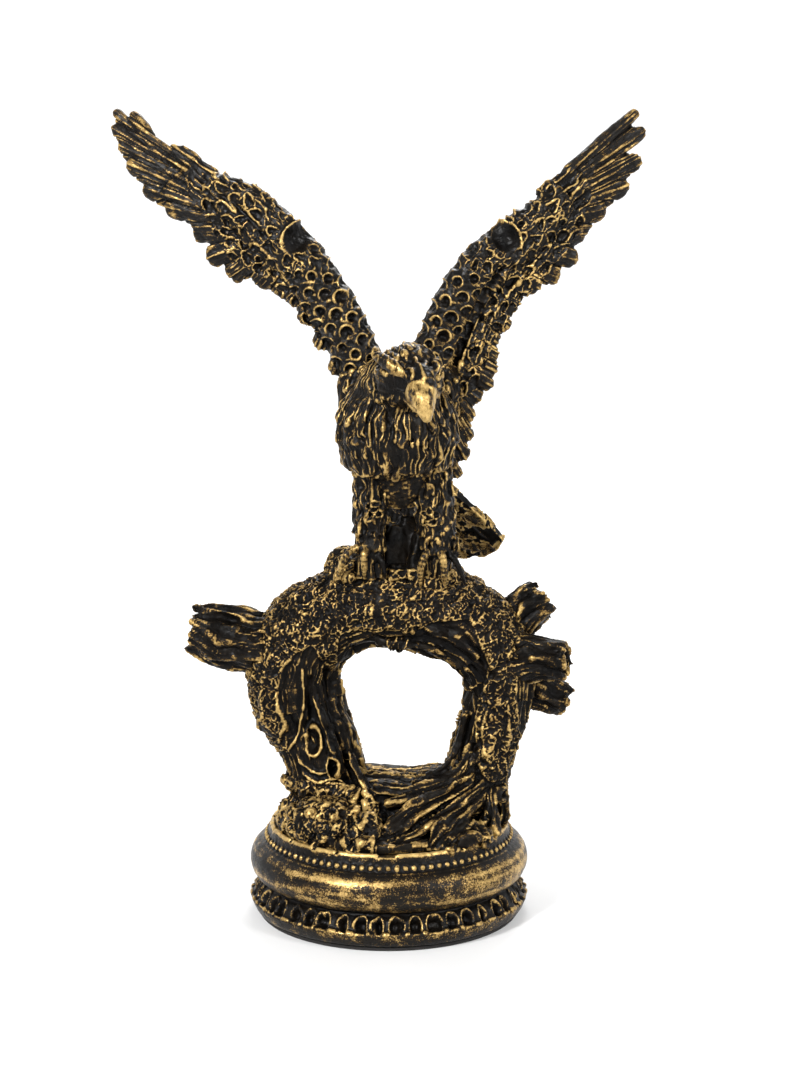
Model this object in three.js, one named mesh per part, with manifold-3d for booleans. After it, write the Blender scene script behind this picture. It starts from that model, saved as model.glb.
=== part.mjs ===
// An eagle statuette: a bird with raised wings perched on a looped tree trunk, on a round moulded plinth.
// Millimetres, +Z up, front towards -Y. The origin is the centre of the underside, on the surface it stands on.
import * as THREE from "three";
import { mergeVertices } from "three/addons/utils/BufferGeometryUtils.js";
import Module from "manifold-3d";

const wasm = await Module();
wasm.setup();

// ---- Driving dimensions ----
const SEAM = 0.3; // gap left between two pieces that bear on each other
const PLINTH_RADIUS = 50;
const PLINTH_HEIGHT = 32; // underside of the felt to the deck the tree stands on
const PLINTH_WALL = 5;
const RIM_WIDTH = 8.5; // how far the raised rim stands in from the plinth's widest point
const RIM_LIFT = 1.2; // the rim above the deck
const FELT_THICKNESS = 1.5;
const FELT_INSET = 3; // felt edge in from the foot's edge
const STUD_RADIUS = 3; // M6 stud that ties the tree to the plinth
const STUD_GRIP = 14; // how far the stud screws into the tree
const STUD_TAIL = 9; // stud below the deck's underside
const NUT_ACROSS_FLATS = 10;
const NUT_HEIGHT = 5;
const WASHER_RADIUS = 8;
const WASHER_THICKNESS = 1.6;
const RING_WIDTH = 70; // between the two trunks' centrelines
const RING_HEIGHT = 80; // deck to the centreline of the perch
const TRUNK_DEPTH = 15; // half the trunk's depth, front to back, at the perch
const LEG_ROD_RADIUS = 1.5;
const LEG_LENGTH = 34; // perch to the underside of the body
const PIN_RADIUS = 1.25; // dowels in the wings, tail and branch stubs
const PIN_REACH = 6; // how far a dowel goes into each of its two pieces
const WING_LENGTH = 125; // shoulder to tip
const FEATHER_THICKNESS = 4;
const TAIL_LENGTH = 46;

const DECK = PLINTH_HEIGHT;
const UP = new THREE.Vector3(0, 0, 1);
const BACK = new THREE.Vector3(0, 1, 0);
const ACROSS = new THREE.Vector3(1, 0, 0);
const RING_DESIGN = { width: 70, height: 80, depth: 15 }; // the sizes the tree's stations are drawn at

// ---- Solids from three.js geometries ----
function solidOf(geometry) {
  const bare = geometry.clone();
  bare.deleteAttribute("normal");
  bare.deleteAttribute("uv");
  const merged = mergeVertices(bare, 1e-4);
  return new wasm.Manifold(
    new wasm.Mesh({
      numProp: 3,
      vertProperties: new Float32Array(merged.attributes.position.array),
      triVerts: new Uint32Array(merged.index.array),
    }),
  );
}

function geometryOf(solid) {
  const mesh = solid.getMesh();
  return new THREE.BufferGeometry()
    .setAttribute("position", new THREE.BufferAttribute(new Float32Array(mesh.vertProperties), 3))
    .setIndex(new THREE.BufferAttribute(new Uint32Array(mesh.triVerts), 1));
}

const joined = (solids) => solids.reduce((all, next) => all.add(next));

// A rounded limb: a capped cylinder bent along a curve through its stations.
// A station is [x, y, z, half width, half depth]; depth lies nearest to the given axis.
function limb(stations, { sides = 10, steps = 10, depthAxis = BACK, grow = 0 } = {}) {
  const path = new THREE.CatmullRomCurve3(stations.map(([x, y, z]) => new THREE.Vector3(x, y, z)));
  const girth = new THREE.CatmullRomCurve3(stations.map((s) => new THREE.Vector3(s[3], s[4], 0)));
  const geometry = new THREE.CylinderGeometry(1, 1, 1, sides, steps);
  const place = geometry.attributes.position;
  for (let i = 0; i < place.count; i++) {
    const share = THREE.MathUtils.clamp(place.getY(i) + 0.5, 0, 1);
    const along = path.getTangent(share);
    const wide = new THREE.Vector3().crossVectors(along, depthAxis).normalize();
    const deep = new THREE.Vector3().crossVectors(wide, along).normalize();
    const size = girth.getPoint(share);
    const ends = (share < 0.5 ? -1 : 1) * (share === 0 || share === 1 ? grow : 0);
    const point = path
      .getPoint(share)
      .addScaledVector(along, ends)
      .addScaledVector(wide, -place.getX(i) * (size.x + grow))
      .addScaledVector(deep, place.getZ(i) * (size.y + grow));
    place.setXYZ(i, point.x, point.y, point.z);
  }
  return upright(solidOf(geometry));
}

// Turns a solid outside out if its faces point inwards.
function upright(solid) {
  if (solid.volume() > 0) return solid;
  const mesh = solid.getMesh();
  const turned = new Uint32Array(mesh.triVerts);
  for (let i = 0; i < turned.length; i += 3) [turned[i + 1], turned[i + 2]] = [turned[i + 2], turned[i + 1]];
  return new wasm.Manifold(
    new wasm.Mesh({ numProp: 3, vertProperties: new Float32Array(mesh.vertProperties), triVerts: turned }),
  );
}

function egg([x, y, z], [rx, ry, rz], { grow = 0, across = 14, round = 9 } = {}) {
  const geometry = new THREE.SphereGeometry(1, across, round);
  geometry.rotateX(Math.PI / 2);
  geometry.scale(rx + grow, ry + grow, rz + grow).translate(x, y, z);
  return solidOf(geometry);
}

// A straight rod between two points.
function rod(from, to, radius, sides = 16) {
  const start = new THREE.Vector3(...from);
  const run = new THREE.Vector3(...to).sub(start);
  const geometry = new THREE.CylinderGeometry(radius, radius, run.length(), sides);
  geometry.translate(0, run.length() / 2, 0);
  geometry.applyQuaternion(new THREE.Quaternion().setFromUnitVectors(BACK, run.clone().normalize()));
  geometry.translate(...from);
  return solidOf(geometry);
}

function turned(profile, segments) {
  const geometry = new THREE.LatheGeometry(
    profile.map(([r, z]) => new THREE.Vector2(r, z)),
    segments,
  );
  return upright(solidOf(geometry.rotateX(Math.PI / 2)));
}

// A feather panel: an outline in the XZ plane, given a thickness and swept back with distance from its root.
function panel(outline, root, sweep) {
  const shape = new THREE.Shape(outline.map(([x, z]) => new THREE.Vector2(x, z)));
  const geometry = new THREE.ExtrudeGeometry(shape, { depth: FEATHER_THICKNESS, bevelEnabled: false });
  geometry.rotateX(Math.PI / 2).translate(0, root[1] + FEATHER_THICKNESS, 0);
  const place = geometry.attributes.position;
  for (let i = 0; i < place.count; i++) {
    const away = Math.hypot(place.getX(i) - root[0], place.getZ(i) - root[2]) / WING_LENGTH;
    place.setY(i, place.getY(i) + sweep * away * away);
  }
  return upright(solidOf(geometry));
}

// ---- Plinth ----
function plinth() {
  const r = PLINTH_RADIUS;
  const low = FELT_THICKNESS + SEAM;
  const rim = r - RIM_WIDTH;
  const outer = [
    [r - 2, low],
    [r - 0.6, low + 1.6],
    [r, low + 4.4],
    [r - 1.6, low + 6],
    [r - 2.4, low + 8.6],
    [r - 4, low + 10.4],
  ];
  const torus = { centre: r - 6, radius: 6, z: (low + 10.4 + DECK - 4.6) / 2, half: (DECK - 4.6 - low - 10.4) / 2 };
  for (let i = 0; i <= 8; i++) {
    const turn = -Math.PI / 2 + (Math.PI * (i + 0.5)) / 9;
    outer.push([torus.centre + torus.radius * Math.cos(turn), torus.z + torus.half * Math.sin(turn)]);
  }
  outer.push([r - 5.4, DECK - 4], [r - 6.6, DECK - 2.4], [rim, DECK - 0.4], [rim, DECK + RIM_LIFT]);
  outer.push([rim - 1.6, DECK + RIM_LIFT], [rim - 1.6, DECK]);
  const hollow = [
    [STUD_RADIUS + SEAM, DECK],
    [STUD_RADIUS + SEAM, DECK - PLINTH_WALL],
    [rim - PLINTH_WALL, DECK - PLINTH_WALL],
    [r - 6 - PLINTH_WALL + 2, DECK - PLINTH_WALL - 4],
    [r - 2 - PLINTH_WALL, low],
  ];
  return turned([...outer, ...hollow, outer[0]], 48);
}

const feltPad = () =>
  rod([0, 0, 0], [0, 0, FELT_THICKNESS], PLINTH_RADIUS - FELT_INSET, 48);

const underDeck = DECK - PLINTH_WALL;
const washerTop = underDeck - SEAM;
const nutTop = washerTop - WASHER_THICKNESS - SEAM;

const fixingStud = () => rod([0, 0, underDeck - STUD_TAIL], [0, 0, DECK + STUD_GRIP], STUD_RADIUS);

const fixingWasher = () =>
  turned(
    [
      [STUD_RADIUS + SEAM, washerTop - WASHER_THICKNESS],
      [WASHER_RADIUS, washerTop - WASHER_THICKNESS],
      [WASHER_RADIUS, washerTop],
      [STUD_RADIUS + SEAM, washerTop],
      [STUD_RADIUS + SEAM, washerTop - WASHER_THICKNESS],
    ],
    24,
  );

function fixingNut() {
  const corner = NUT_ACROSS_FLATS / Math.sqrt(3);
  const hex = rod([0, 0, nutTop - NUT_HEIGHT], [0, 0, nutTop], corner, 6);
  return hex.subtract(rod([0, 0, nutTop - NUT_HEIGHT - 1], [0, 0, nutTop + 1], STUD_RADIUS + SEAM, 24));
}

// ---- Tree ----
// Stations are drawn from the deck's centre and follow the ring's width, height and depth.
const treeStation = ([x, y, z, wide, deep]) => [
  (x * RING_WIDTH) / RING_DESIGN.width,
  (y * TRUNK_DEPTH) / RING_DESIGN.depth,
  DECK + (z * RING_HEIGHT) / RING_DESIGN.height,
  wide,
  (deep * TRUNK_DEPTH) / RING_DESIGN.depth,
];
const treePoint = (x, y, z) => treeStation([x, y, z, 0, 0]).slice(0, 3);

const TRUNK_LOOP = [
  [-19, 2, -4, 15, 17],
  [-21.5, 0, 16, 13.5, 15],
  [-26, 0, 31, 14, 14],
  [-32, 0, 45, 16, 14],
  [-33, 0, 59, 16.5, 14.5],
  [-26.5, 0, 71.5, 16, 15],
  [-11, 0, 78.5, 14.5, 15],
  [4, 0, 80, 15, 15],
  [18, 0, 77, 16, 15],
  [30.5, 0, 69.5, 15, 15],
  [39, 0, 57, 13, 14],
  [38.5, 0, 43, 12, 13.5],
  [34.5, 0, 30, 11.5, 13.5],
  [31.5, 0, 17, 11.5, 15],
  [28, 0, -4, 12, 16],
];
const LOWER_SADDLE = [
  [-22, 2, 8, 10, 20],
  [-8, 1, 9.5, 9.5, 22],
  [6, 0, 9, 9, 22],
  [20, 0, 10.5, 9.5, 20],
  [32, 0, 12, 9, 18],
];
const ROOTS = [
  [[34, -4, 20, 6, 6], [18, -18, 15, 4, 4.5], [6, -27, 9, 3.2, 4], [-3, -32, 1.5, 3, 3]],
  [[34, -6, 16, 5, 5], [24, -22, 11, 3, 3.5], [18, -31, 6, 2.4, 3], [16.5, -36, 0, 2.4, 2.4]],
  [[36, -4, 18, 5, 5], [37.5, -16, 9, 4, 4], [34.5, -23, 1, 3.5, 3.5]],
  [[-24, 8, 18, 5, 6], [-22, 24, 8, 4, 4.5], [-16, 33, 1, 3, 3]],
  [[32, 8, 18, 5, 6], [22, 22, 9, 4, 4.5], [12, 33, 1, 3, 3]],
  [[-24, -2, 18, 6, 6], [-31, -4, 8, 5, 5.5], [-35, -3, 1, 3.5, 4]],
];
// Domes of rock and moss, each a middle and three half sizes.
const MOUNDS = [
  { at: [-21, -20, 4], size: [14, 13, 9.5] },
  { at: [-9, -28, 3], size: [8, 7, 7] },
  { at: [26, -26, 2], size: [9, 7, 6.5] },
  { at: [0, 24, 2], size: [15, 11, 8] },
  { at: [-13, 0, 91], size: [9, 11, 8] },
  { at: [14, -2, 90], size: [12, 11, 7] },
];
const STUBS = {
  left_branch_stub: [[-34, 0, 65, 9, 11], [-49, 0, 66.5, 11, 10.5], [-60, 0, 68, 10.5, 9.5], [-70, 0, 70.5, 8.5, 7]],
  right_upper_stub: [[34, 4, 64, 7, 8], [46, 6, 73, 8.5, 8], [52.5, 7, 79.5, 8.5, 7], [56, 7.5, 83, 6, 5.5]],
  right_middle_stub: [[38, -4, 60, 8, 8], [50, -7, 61.5, 9, 8.5], [58, -9, 62, 8.5, 7.5], [63, -10, 61.5, 6, 5.5]],
  right_lower_stub: [[36, 4, 56, 7, 7], [50, 5, 48.5, 8, 7], [58, 6, 45, 7.5, 6.5], [63.5, 6.5, 43, 5, 4.5]],
};

const slabRadius = PLINTH_RADIUS - RIM_WIDTH - 1.6 - SEAM;

function tree(grow = 0) {
  const low = DECK + SEAM;
  const forms = [
    limb(TRUNK_LOOP.map(treeStation), { sides: 14, steps: 30, grow }),
    limb(LOWER_SADDLE.map(treeStation), { sides: 12, steps: 6, grow }),
    ...ROOTS.map((root) => limb(root.map(treeStation), { sides: 8, steps: 5, depthAxis: UP, grow })),
    ...MOUNDS.map(({ at, size }) => egg(treePoint(...at), size, { grow, across: 12, round: 8 })),
  ];
  const ground = rod([0, 0, low], [0, 0, DECK + 300], slabRadius, 40);
  const slab = rod([0, 0, low], [0, 0, DECK + 3], slabRadius - 0.5, 40);
  const foot = joined(forms).intersect(ground.add(highBox()));
  return foot.add(slab);
}

// Everything above the roots, where the tree may stand wider than its footing.
function highBox() {
  const geometry = new THREE.BoxGeometry(400, 400, 400);
  geometry.translate(0, 0, DECK + 12 + 200);
  return solidOf(geometry);
}

// ---- Eagle ----
const perch = treePoint(4, 0, 80)[2] + 15; // top of the perch
const birdPoint = (x, y, z) => [x, y, perch + LEG_LENGTH - 34 + z];
const birdStation = ([x, y, z, wide, deep]) => [...birdPoint(x, y, z), wide, deep];

const LEGS = {
  left: { rodAt: [-6, -6], thigh: [[-3, -6, 39, 8, 8], [-5, -6.5, 28, 6.5, 7], [-6.5, -7, 14, 5, 5.5]] },
  right: { rodAt: [15.5, -6], thigh: [[12, -6, 39, 8.5, 8], [15, -6.5, 28, 6.5, 7], [17, -7, 14, 6, 6]] },
};
const TOES = {
  left: [[-5, -9, -5.5], [-1, -12, -5], [3.5, -9, -4.5], [-1, 10, -1]],
  right: [[-4.5, -9, -5], [1, -12, -5.5], [6, -9, -4], [1, 10, -1]],
};

function body(grow = 0) {
  const back = [[3, -10, 50, 18, 17], [4, 2, 47, 18, 16], [5, 12, 41, 13, 12], [6.5, 20, 35, 8, 7]];
  const neck = [[3, -8, 58, 17, 15], [5, -15, 64, 14, 13], [7, -22, 68, 10.5, 10.5]];
  const beak = [[9, -30, 70, 4.6, 5], [10.8, -37.5, 69.5, 4.6, 5], [12.6, -42, 65, 3.8, 4], [13.4, -43, 58, 1.8, 2]];
  const options = { grow, depthAxis: ACROSS };
  return joined([
    egg(birdPoint(3, -8, 49), [20, 18, 20], { grow, across: 18, round: 12 }),
    egg(birdPoint(7, -24, 68), [11, 12, 10.8], { grow }),
    egg(birdPoint(-7, 3, 61), [10, 9, 12], { grow }),
    egg(birdPoint(15, 3, 61), [10.5, 9, 12], { grow }),
    limb(back.map(birdStation), { ...options, steps: 6 }),
    limb(neck.map(birdStation), { ...options, steps: 5 }),
    limb(beak.map(birdStation), { ...options, sides: 8, steps: 6 }),
  ]);
}

function leg(side) {
  const { thigh } = LEGS[side];
  const [ankleX, ankleY] = [thigh[2][0], thigh[2][1] - 1];
  const shank = [
    [thigh[0][0], thigh[0][1], thigh[0][2] + LEG_LENGTH - 34, thigh[0][3], thigh[0][4]],
    thigh[1],
    thigh[2],
    [ankleX, ankleY, 5, 5, 5.5],
    [ankleX, ankleY, -3, 6, 7],
  ];
  const toes = TOES[side].map(([dx, dy, dz]) =>
    limb(
      [
        [ankleX, ankleY, perch + 4, 3, 3],
        [ankleX + dx * 0.6, ankleY + dy * 0.6, perch + 3.5, 2.6, 2.6],
        [ankleX + dx, ankleY + dy, perch + dz + 2, 2, 2.2],
        [ankleX + dx * 1.1, ankleY + dy * 1.15, perch + dz - 2, 0.9, 1],
      ],
      { sides: 7, steps: 5, depthAxis: ACROSS },
    ),
  );
  const bone = limb(shank.map(([x, y, z, wide, deep]) => [x, y, perch + z, wide, deep]), { steps: 8 });
  return joined([bone, ...toes]);
}

function legRod(side, clearance = 0) {
  const [x, y] = LEGS[side].rodAt;
  const top = birdPoint(x, y, 40 + PIN_REACH)[2] + clearance;
  return rod([x, y, perch - 14 - clearance], [x, y, top], LEG_ROD_RADIUS + clearance, 12);
}

// ---- Wings and tail ----
// Stations and outlines are drawn from the shoulder, for a wing 125 long, and follow WING_LENGTH.
const WINGS = {
  left: {
    root: birdPoint(-8, 4, 67),
    arm: [
      [0, 0, 0, 8, 6.5],
      [-6, 0, 13, 8.5, 6.5],
      [-12, 1, 24, 8.5, 6.5],
      [-21, 2, 37, 8.5, 6.5],
      [-31, 3, 47.5, 9, 6.5],
      [-40, 4, 55.5, 9, 6],
      [-48, 5, 61.5, 7.5, 5],
      [-54, 6, 66, 5, 4],
    ],
    feathers: [
      [-2, 3], [-12, 24], [-30, 47], [-50, 64], [-55, 69], [-62, 74], [-67.5, 77.5], [-73, 82], [-79.5, 89],
      [-82.5, 90.5], [-84.5, 88.5], [-88, 91.5], [-89.5, 86], [-85.5, 77], [-80, 68.5], [-77.5, 63], [-75, 59],
      [-69, 56.5], [-63, 52], [-58, 49], [-58, 45.5], [-54.5, 37.5], [-49, 34], [-46, 31], [-40.5, 30],
      [-34.5, 29.5], [-29, 27.5], [-25, 23], [-19, 14.5], [-15, 9], [-14.5, 5.5], [-11, 0], [-6, -5],
    ],
  },
  right: {
    root: birdPoint(14, 4, 65),
    arm: [
      [0, 0, 0, 8, 6.5],
      [3, 0, 10, 8.5, 6.5],
      [9, 1, 24, 8.5, 6.5],
      [17, 2, 36.5, 8.5, 6.5],
      [25, 3, 43, 8.5, 6.5],
      [33, 4, 49.5, 8.5, 6],
      [42, 5, 58, 6.5, 5],
      [48, 6, 64, 4.5, 4],
    ],
    feathers: [
      [9, -9], [4, 4], [9, 24], [25, 43], [42, 60], [48.5, 69.5], [55.5, 76.5], [62.5, 84], [68.5, 89],
      [73, 93.5], [75, 92.5], [74.5, 90], [77, 88], [77, 85], [75, 81.5], [75.5, 77], [73.5, 73], [70.5, 69.5],
      [71.5, 66], [69.5, 62.5], [63.5, 60], [61, 57], [59, 52.5], [54.5, 49.5], [53, 46], [52.5, 40.5],
      [49, 36.5], [46, 36], [46.5, 32.5], [43, 30.5], [37, 30], [32, 25.5], [28.5, 20], [27.5, 15], [24, 12],
      [24.5, 7], [23.5, 1], [20.5, -5], [16, -10], [15.5, -18], [14.5, -25], [13, -32], [11, -38], [8, -30],
    ],
  },
};
const WING_DESIGN_LENGTH = 125;
const WING_SWEEP = 17; // how far the tip lies behind the shoulder
const reach = WING_LENGTH / WING_DESIGN_LENGTH;

function wing(side) {
  const { root, arm, feathers } = WINGS[side];
  const stations = arm.map(([x, y, z, wide, deep]) => [root[0] + x * reach, root[1] + y, root[2] + z * reach, wide, deep]);
  const outline = feathers.map(([x, z]) => [root[0] + x * reach, root[2] + z * reach]);
  return limb(stations, { sides: 12, steps: 14 }).add(panel(outline, root, WING_SWEEP));
}

// Two dowels side by side across each shoulder.
function wingPin(side, offset, clearance = 0) {
  const { root, arm } = WINGS[side];
  const along = new THREE.Vector3(arm[1][0], arm[1][1], arm[1][2]).normalize();
  const middle = new THREE.Vector3(...root).addScaledVector(along, 6);
  const at = (d) => middle.clone().addScaledVector(along, d).add(new THREE.Vector3(0, offset, 0)).toArray();
  return rod(at(-PIN_REACH - clearance), at(PIN_REACH + clearance), PIN_RADIUS + clearance, 12);
}

const TAIL_ROOT = birdPoint(5, 18, 36);
const TAIL_DESIGN_LENGTH = 46;
const TAIL_DROOP = 60; // degrees below level
const TAIL_TURN = -22; // degrees towards the right
const TAIL_JOINT = 4; // how far down the tail the body's surface lies

function tail() {
  // A fan drawn flat, root at the origin, running along +Y, then drooped and turned.
  const fan = [
    [-6, -4], [-13, 10], [-20, 22], [-26, 33], [-19, 38], [-9, 42], [0, 45], [9, 46], [17, 46],
    [24, 44.5], [29, 41.5], [33, 36], [26, 25], [15, 12], [7, -4],
  ];
  const scale = TAIL_LENGTH / TAIL_DESIGN_LENGTH;
  const shape = new THREE.Shape(fan.map(([x, y]) => new THREE.Vector2(x, y * scale)));
  const geometry = new THREE.ExtrudeGeometry(shape, { depth: FEATHER_THICKNESS, bevelEnabled: false });
  geometry.translate(0, 0, -FEATHER_THICKNESS / 2);
  geometry.rotateX(THREE.MathUtils.degToRad(-TAIL_DROOP));
  geometry.rotateZ(THREE.MathUtils.degToRad(TAIL_TURN));
  geometry.translate(...TAIL_ROOT);
  const stem = [[...TAIL_ROOT, 7, 5], [TAIL_ROOT[0] + 4, TAIL_ROOT[1] + 7, TAIL_ROOT[2] - 14, 10, 4]];
  return solidOf(geometry).add(limb(stem, { depthAxis: ACROSS, steps: 3 }));
}

// A dowel along the tail's own line, half in the body and half in the tail.
function tailPin(clearance = 0) {
  const line = new THREE.Vector3(0, 1, 0)
    .applyAxisAngle(ACROSS, THREE.MathUtils.degToRad(-TAIL_DROOP))
    .applyAxisAngle(UP, THREE.MathUtils.degToRad(TAIL_TURN));
  const at = (d) => new THREE.Vector3(...TAIL_ROOT).addScaledVector(line, TAIL_JOINT + d).toArray();
  return rod(at(-PIN_REACH - clearance), at(PIN_REACH + clearance), PIN_RADIUS + clearance, 12);
}

// ---- Assembly ----
const statuette = new THREE.Group();
const bronze = { color: 0x1c1712, roughness: 0.45, metalness: 0.85 };
const steel = { color: 0x9a9c9e, roughness: 0.35, metalness: 1 };
const felt = { color: 0x14261c, roughness: 0.95, metalness: 0 };

function place(name, solid, finish) {
  const mesh = new THREE.Mesh(geometryOf(solid), new THREE.MeshStandardMaterial(finish));
  mesh.name = name;
  statuette.add(mesh);
}

const less = (solid, cutters) => cutters.reduce((left, cutter) => left.subtract(cutter), solid);
const largest = (solid) => solid.decompose().reduce((a, b) => (a.volume() > b.volume() ? a : b));
const SIDES = ["left", "right"];
const pinOffsets = { front: -3, rear: 3 };

place("felt_pad", feltPad(), felt);
place("plinth", plinth(), bronze);
place("fixing_stud", fixingStud(), steel);
place("fixing_washer", fixingWasher(), steel);
place("fixing_nut", fixingNut(), steel);

const studBore = rod([0, 0, DECK - 5], [0, 0, DECK + STUD_GRIP + SEAM], STUD_RADIUS + SEAM);
const treeSolid = less(tree(), [studBore, ...SIDES.map((side) => legRod(side, SEAM))]);
place("tree_trunk", treeSolid, bronze);

const treeClear = tree(SEAM);
const stubSolids = {};
for (const [name, stations] of Object.entries(STUBS)) {
  const others = Object.values(stubSolids);
  stubSolids[name] = limb(stations.map(treeStation), { sides: 9, steps: 5, grow: SEAM });
  const own = limb(stations.map(treeStation), { sides: 9, steps: 5 });
  place(name, largest(less(own, [treeClear, ...others])), bronze);
}

const bodyClear = body(SEAM);
const legsClear = SIDES.map((side) => legRod(side, SEAM));
const wingPins = SIDES.flatMap((side) => Object.values(pinOffsets).map((offset) => wingPin(side, offset, SEAM)));
place("eagle_body", less(body(), [...legsClear, ...wingPins, tailPin(SEAM)]), bronze);

for (const side of SIDES) {
  place(`${side}_leg`, largest(less(leg(side), [bodyClear, treeClear, legRod(side, SEAM)])), bronze);
  place(`${side}_leg_rod`, legRod(side), steel);
  const pins = Object.entries(pinOffsets);
  const clear = pins.map(([, offset]) => wingPin(side, offset, SEAM));
  place(`${side}_wing`, largest(less(wing(side), [bodyClear, ...clear])), bronze);
  for (const [end, offset] of pins) place(`${side}_wing_pin_${end}`, wingPin(side, offset), steel);
}
place("tail", largest(less(tail(), [bodyClear, treeClear, tailPin(SEAM)])), bronze);
place("tail_pin", tailPin(), steel);

export default statuette;
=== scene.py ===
"""An eagle statuette in dark patinated bronze with rubbed gold edges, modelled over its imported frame.

Shapes are worked out in millimetres, as arrays, and written to meshes in metres. Each cast piece is fused
from closed shells into one skin, is relaxed, and is then chased: its surface is pushed in and out by
feathers, scales, bark and moss, and how far each spot stands proud is kept for the gold rub.
"""

import math

import bpy
import numpy as np
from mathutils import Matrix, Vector
from mathutils.bvhtree import BVHTree


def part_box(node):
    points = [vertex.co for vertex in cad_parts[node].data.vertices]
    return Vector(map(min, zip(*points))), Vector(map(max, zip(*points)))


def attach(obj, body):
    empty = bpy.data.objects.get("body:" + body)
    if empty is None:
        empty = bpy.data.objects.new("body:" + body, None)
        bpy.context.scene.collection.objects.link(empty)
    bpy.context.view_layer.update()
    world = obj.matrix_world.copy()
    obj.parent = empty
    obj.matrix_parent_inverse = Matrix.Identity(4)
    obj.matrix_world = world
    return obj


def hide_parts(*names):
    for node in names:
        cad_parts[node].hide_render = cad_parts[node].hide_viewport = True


bl_info = {
    "name": "Eagle statuette",
    "version": (1, 0, 0),
    "blender": (4, 5, 0),
    "location": "3D View > Sidebar > Statuette",
    "description": "Builds the bronze, the plinth and the studio over the packed frame",
    "category": "Add Mesh",
}

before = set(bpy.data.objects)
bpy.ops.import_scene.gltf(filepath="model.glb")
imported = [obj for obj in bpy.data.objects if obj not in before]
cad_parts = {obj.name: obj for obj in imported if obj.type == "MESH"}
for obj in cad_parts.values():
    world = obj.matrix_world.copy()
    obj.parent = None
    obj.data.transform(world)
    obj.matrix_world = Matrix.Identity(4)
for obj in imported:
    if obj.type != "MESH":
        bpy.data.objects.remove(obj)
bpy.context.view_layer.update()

MM = 0.001
BODY = "root"
BRONZE = "patina_bronze"
FRONT = np.array((0.0, -1.0, 0.0))
FAR = 1e9
OUTSIDE = 60.0  # where rays at a piece start from, in millimetres off its axis
FINE_BLUR, WIDE_BLUR = 2, 24  # rounds of smoothing that a spot is held against to find how proud it stands
LIMB_SHIFT = 40.0  # how far the grain is moved on from one limb to the next

# The box each node had when its details were drawn, in millimetres; details follow the node's box.
DRAWN = {
    "plinth": ((-50, -50, 1.8), (50, 50, 33.2)),
    "tree_trunk": ((-49.4, -39.1, 32.3), (51.9, 39.1, 131.0)),
    "left_branch_stub": ((-72.0, -10.1, 87.9), (-41.8, 10.8, 110.6)),
    "right_upper_stub": ((38.7, -1.6, 96.7), (60.1, 14.0, 119.1)),
    "right_middle_stub": ((42.2, -15.7, 84.8), (64.2, 1.5, 102.5)),
    "right_lower_stub": ((46.0, -1.5, 70.0), (65.2, 12.4, 89.0)),
    "eagle_body": ((-17.0, -45.6, 155.7), (25.3, 24.8, 205.8)),
    "left_leg": ((-13.3, -22.6, 119.2), (1.8, 4.3, 162.0)),
    "right_leg": ((7.6, -22.6, 119.1), (25.1, 4.3, 166.5)),
    "left_wing": ((-97.5, -2.6, 190.2), (-0.8, 25.5, 285.5)),
    "right_wing": ((6.5, -2.5, 154.0), (91.0, 23.4, 285.5)),
    "tail": ((-14.0, 11.0, 122.0), (43.0, 44.0, 166.5)),
}


# ---- Placing ----


def fitted(node, points):
    """Points drawn in millimetres, moved to where the frame has the node; later columns are kept."""
    points = np.array(points, dtype=float)
    drawn_low, drawn_high = (np.array(corner, dtype=float) for corner in DRAWN[node])
    low, high = (np.array(corner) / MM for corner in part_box(node))
    points[..., :3] = low + (points[..., :3] - drawn_low) * (high - low) / (drawn_high - drawn_low)
    return points


def unit(rows):
    return rows / np.maximum(np.linalg.norm(rows, axis=-1, keepdims=True), 1e-9)


def ease(values, start, end):
    """0 below start, 1 above end, smooth between; start may be the larger."""
    share = np.clip((values - start) / (end - start), 0.0, 1.0)
    return share * share * (3.0 - 2.0 * share)


def peak(values, width, power=2):
    """1 where the values are 0, falling away smoothly over the width; a higher power gives a flatter top."""
    return np.exp(-((values / width) ** power))


def columns(*parts):
    """The parts side by side, a row for each point; a plain number stands for every point."""
    return np.stack(np.broadcast_arrays(*parts), axis=-1)


def staggered(index, row, count):
    """The turn of one of so many places round a row, with every other row half a place on."""
    return math.tau * (index + 0.5 * (row % 2)) / count


def outward(turn):
    """The level direction at a turn from the front."""
    return np.array((math.sin(turn), -math.cos(turn), 0.0))


def falling(choose, sway):
    """A direction down, swaying at random to one side."""
    return np.array((choose.uniform(-sway, sway), 0.0, -1.0))


def curve(points, count):
    """Catmull-Rom samples through rows of numbers."""
    points = np.array(points, dtype=float)
    padded = np.vstack((2 * points[0] - points[1], points, 2 * points[-1] - points[-2]))
    at = np.linspace(0, len(points) - 1 - 1e-9, count)
    whole = at.astype(int)
    t = (at - whole)[:, None]
    a, b, c, d = (padded[whole + i] for i in range(4))
    return 0.5 * (2 * b + (c - a) * t + (2 * a - 5 * b + 4 * c - d) * t**2 + (3 * b - a - 3 * c + d) * t**3)


# ---- Random fields ----


def scatter(cells, seed):
    """One number from 0 to 1 for each whole-numbered cell, always the same for the same cell."""
    mixed = seed * 265443576
    for axis, mixer in enumerate((73856093, 19349663, 83492791)):
        mixed = mixed ^ cells[..., axis] * mixer
    mixed = (mixed ^ (mixed >> 13)) * 1274126177 & 0xFFFFFFFF
    mixed = (mixed ^ (mixed >> 16)) * 668265263 & 0xFFFFFFFF
    return ((mixed >> 8) & 0xFFFF) / 65535.0


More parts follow.
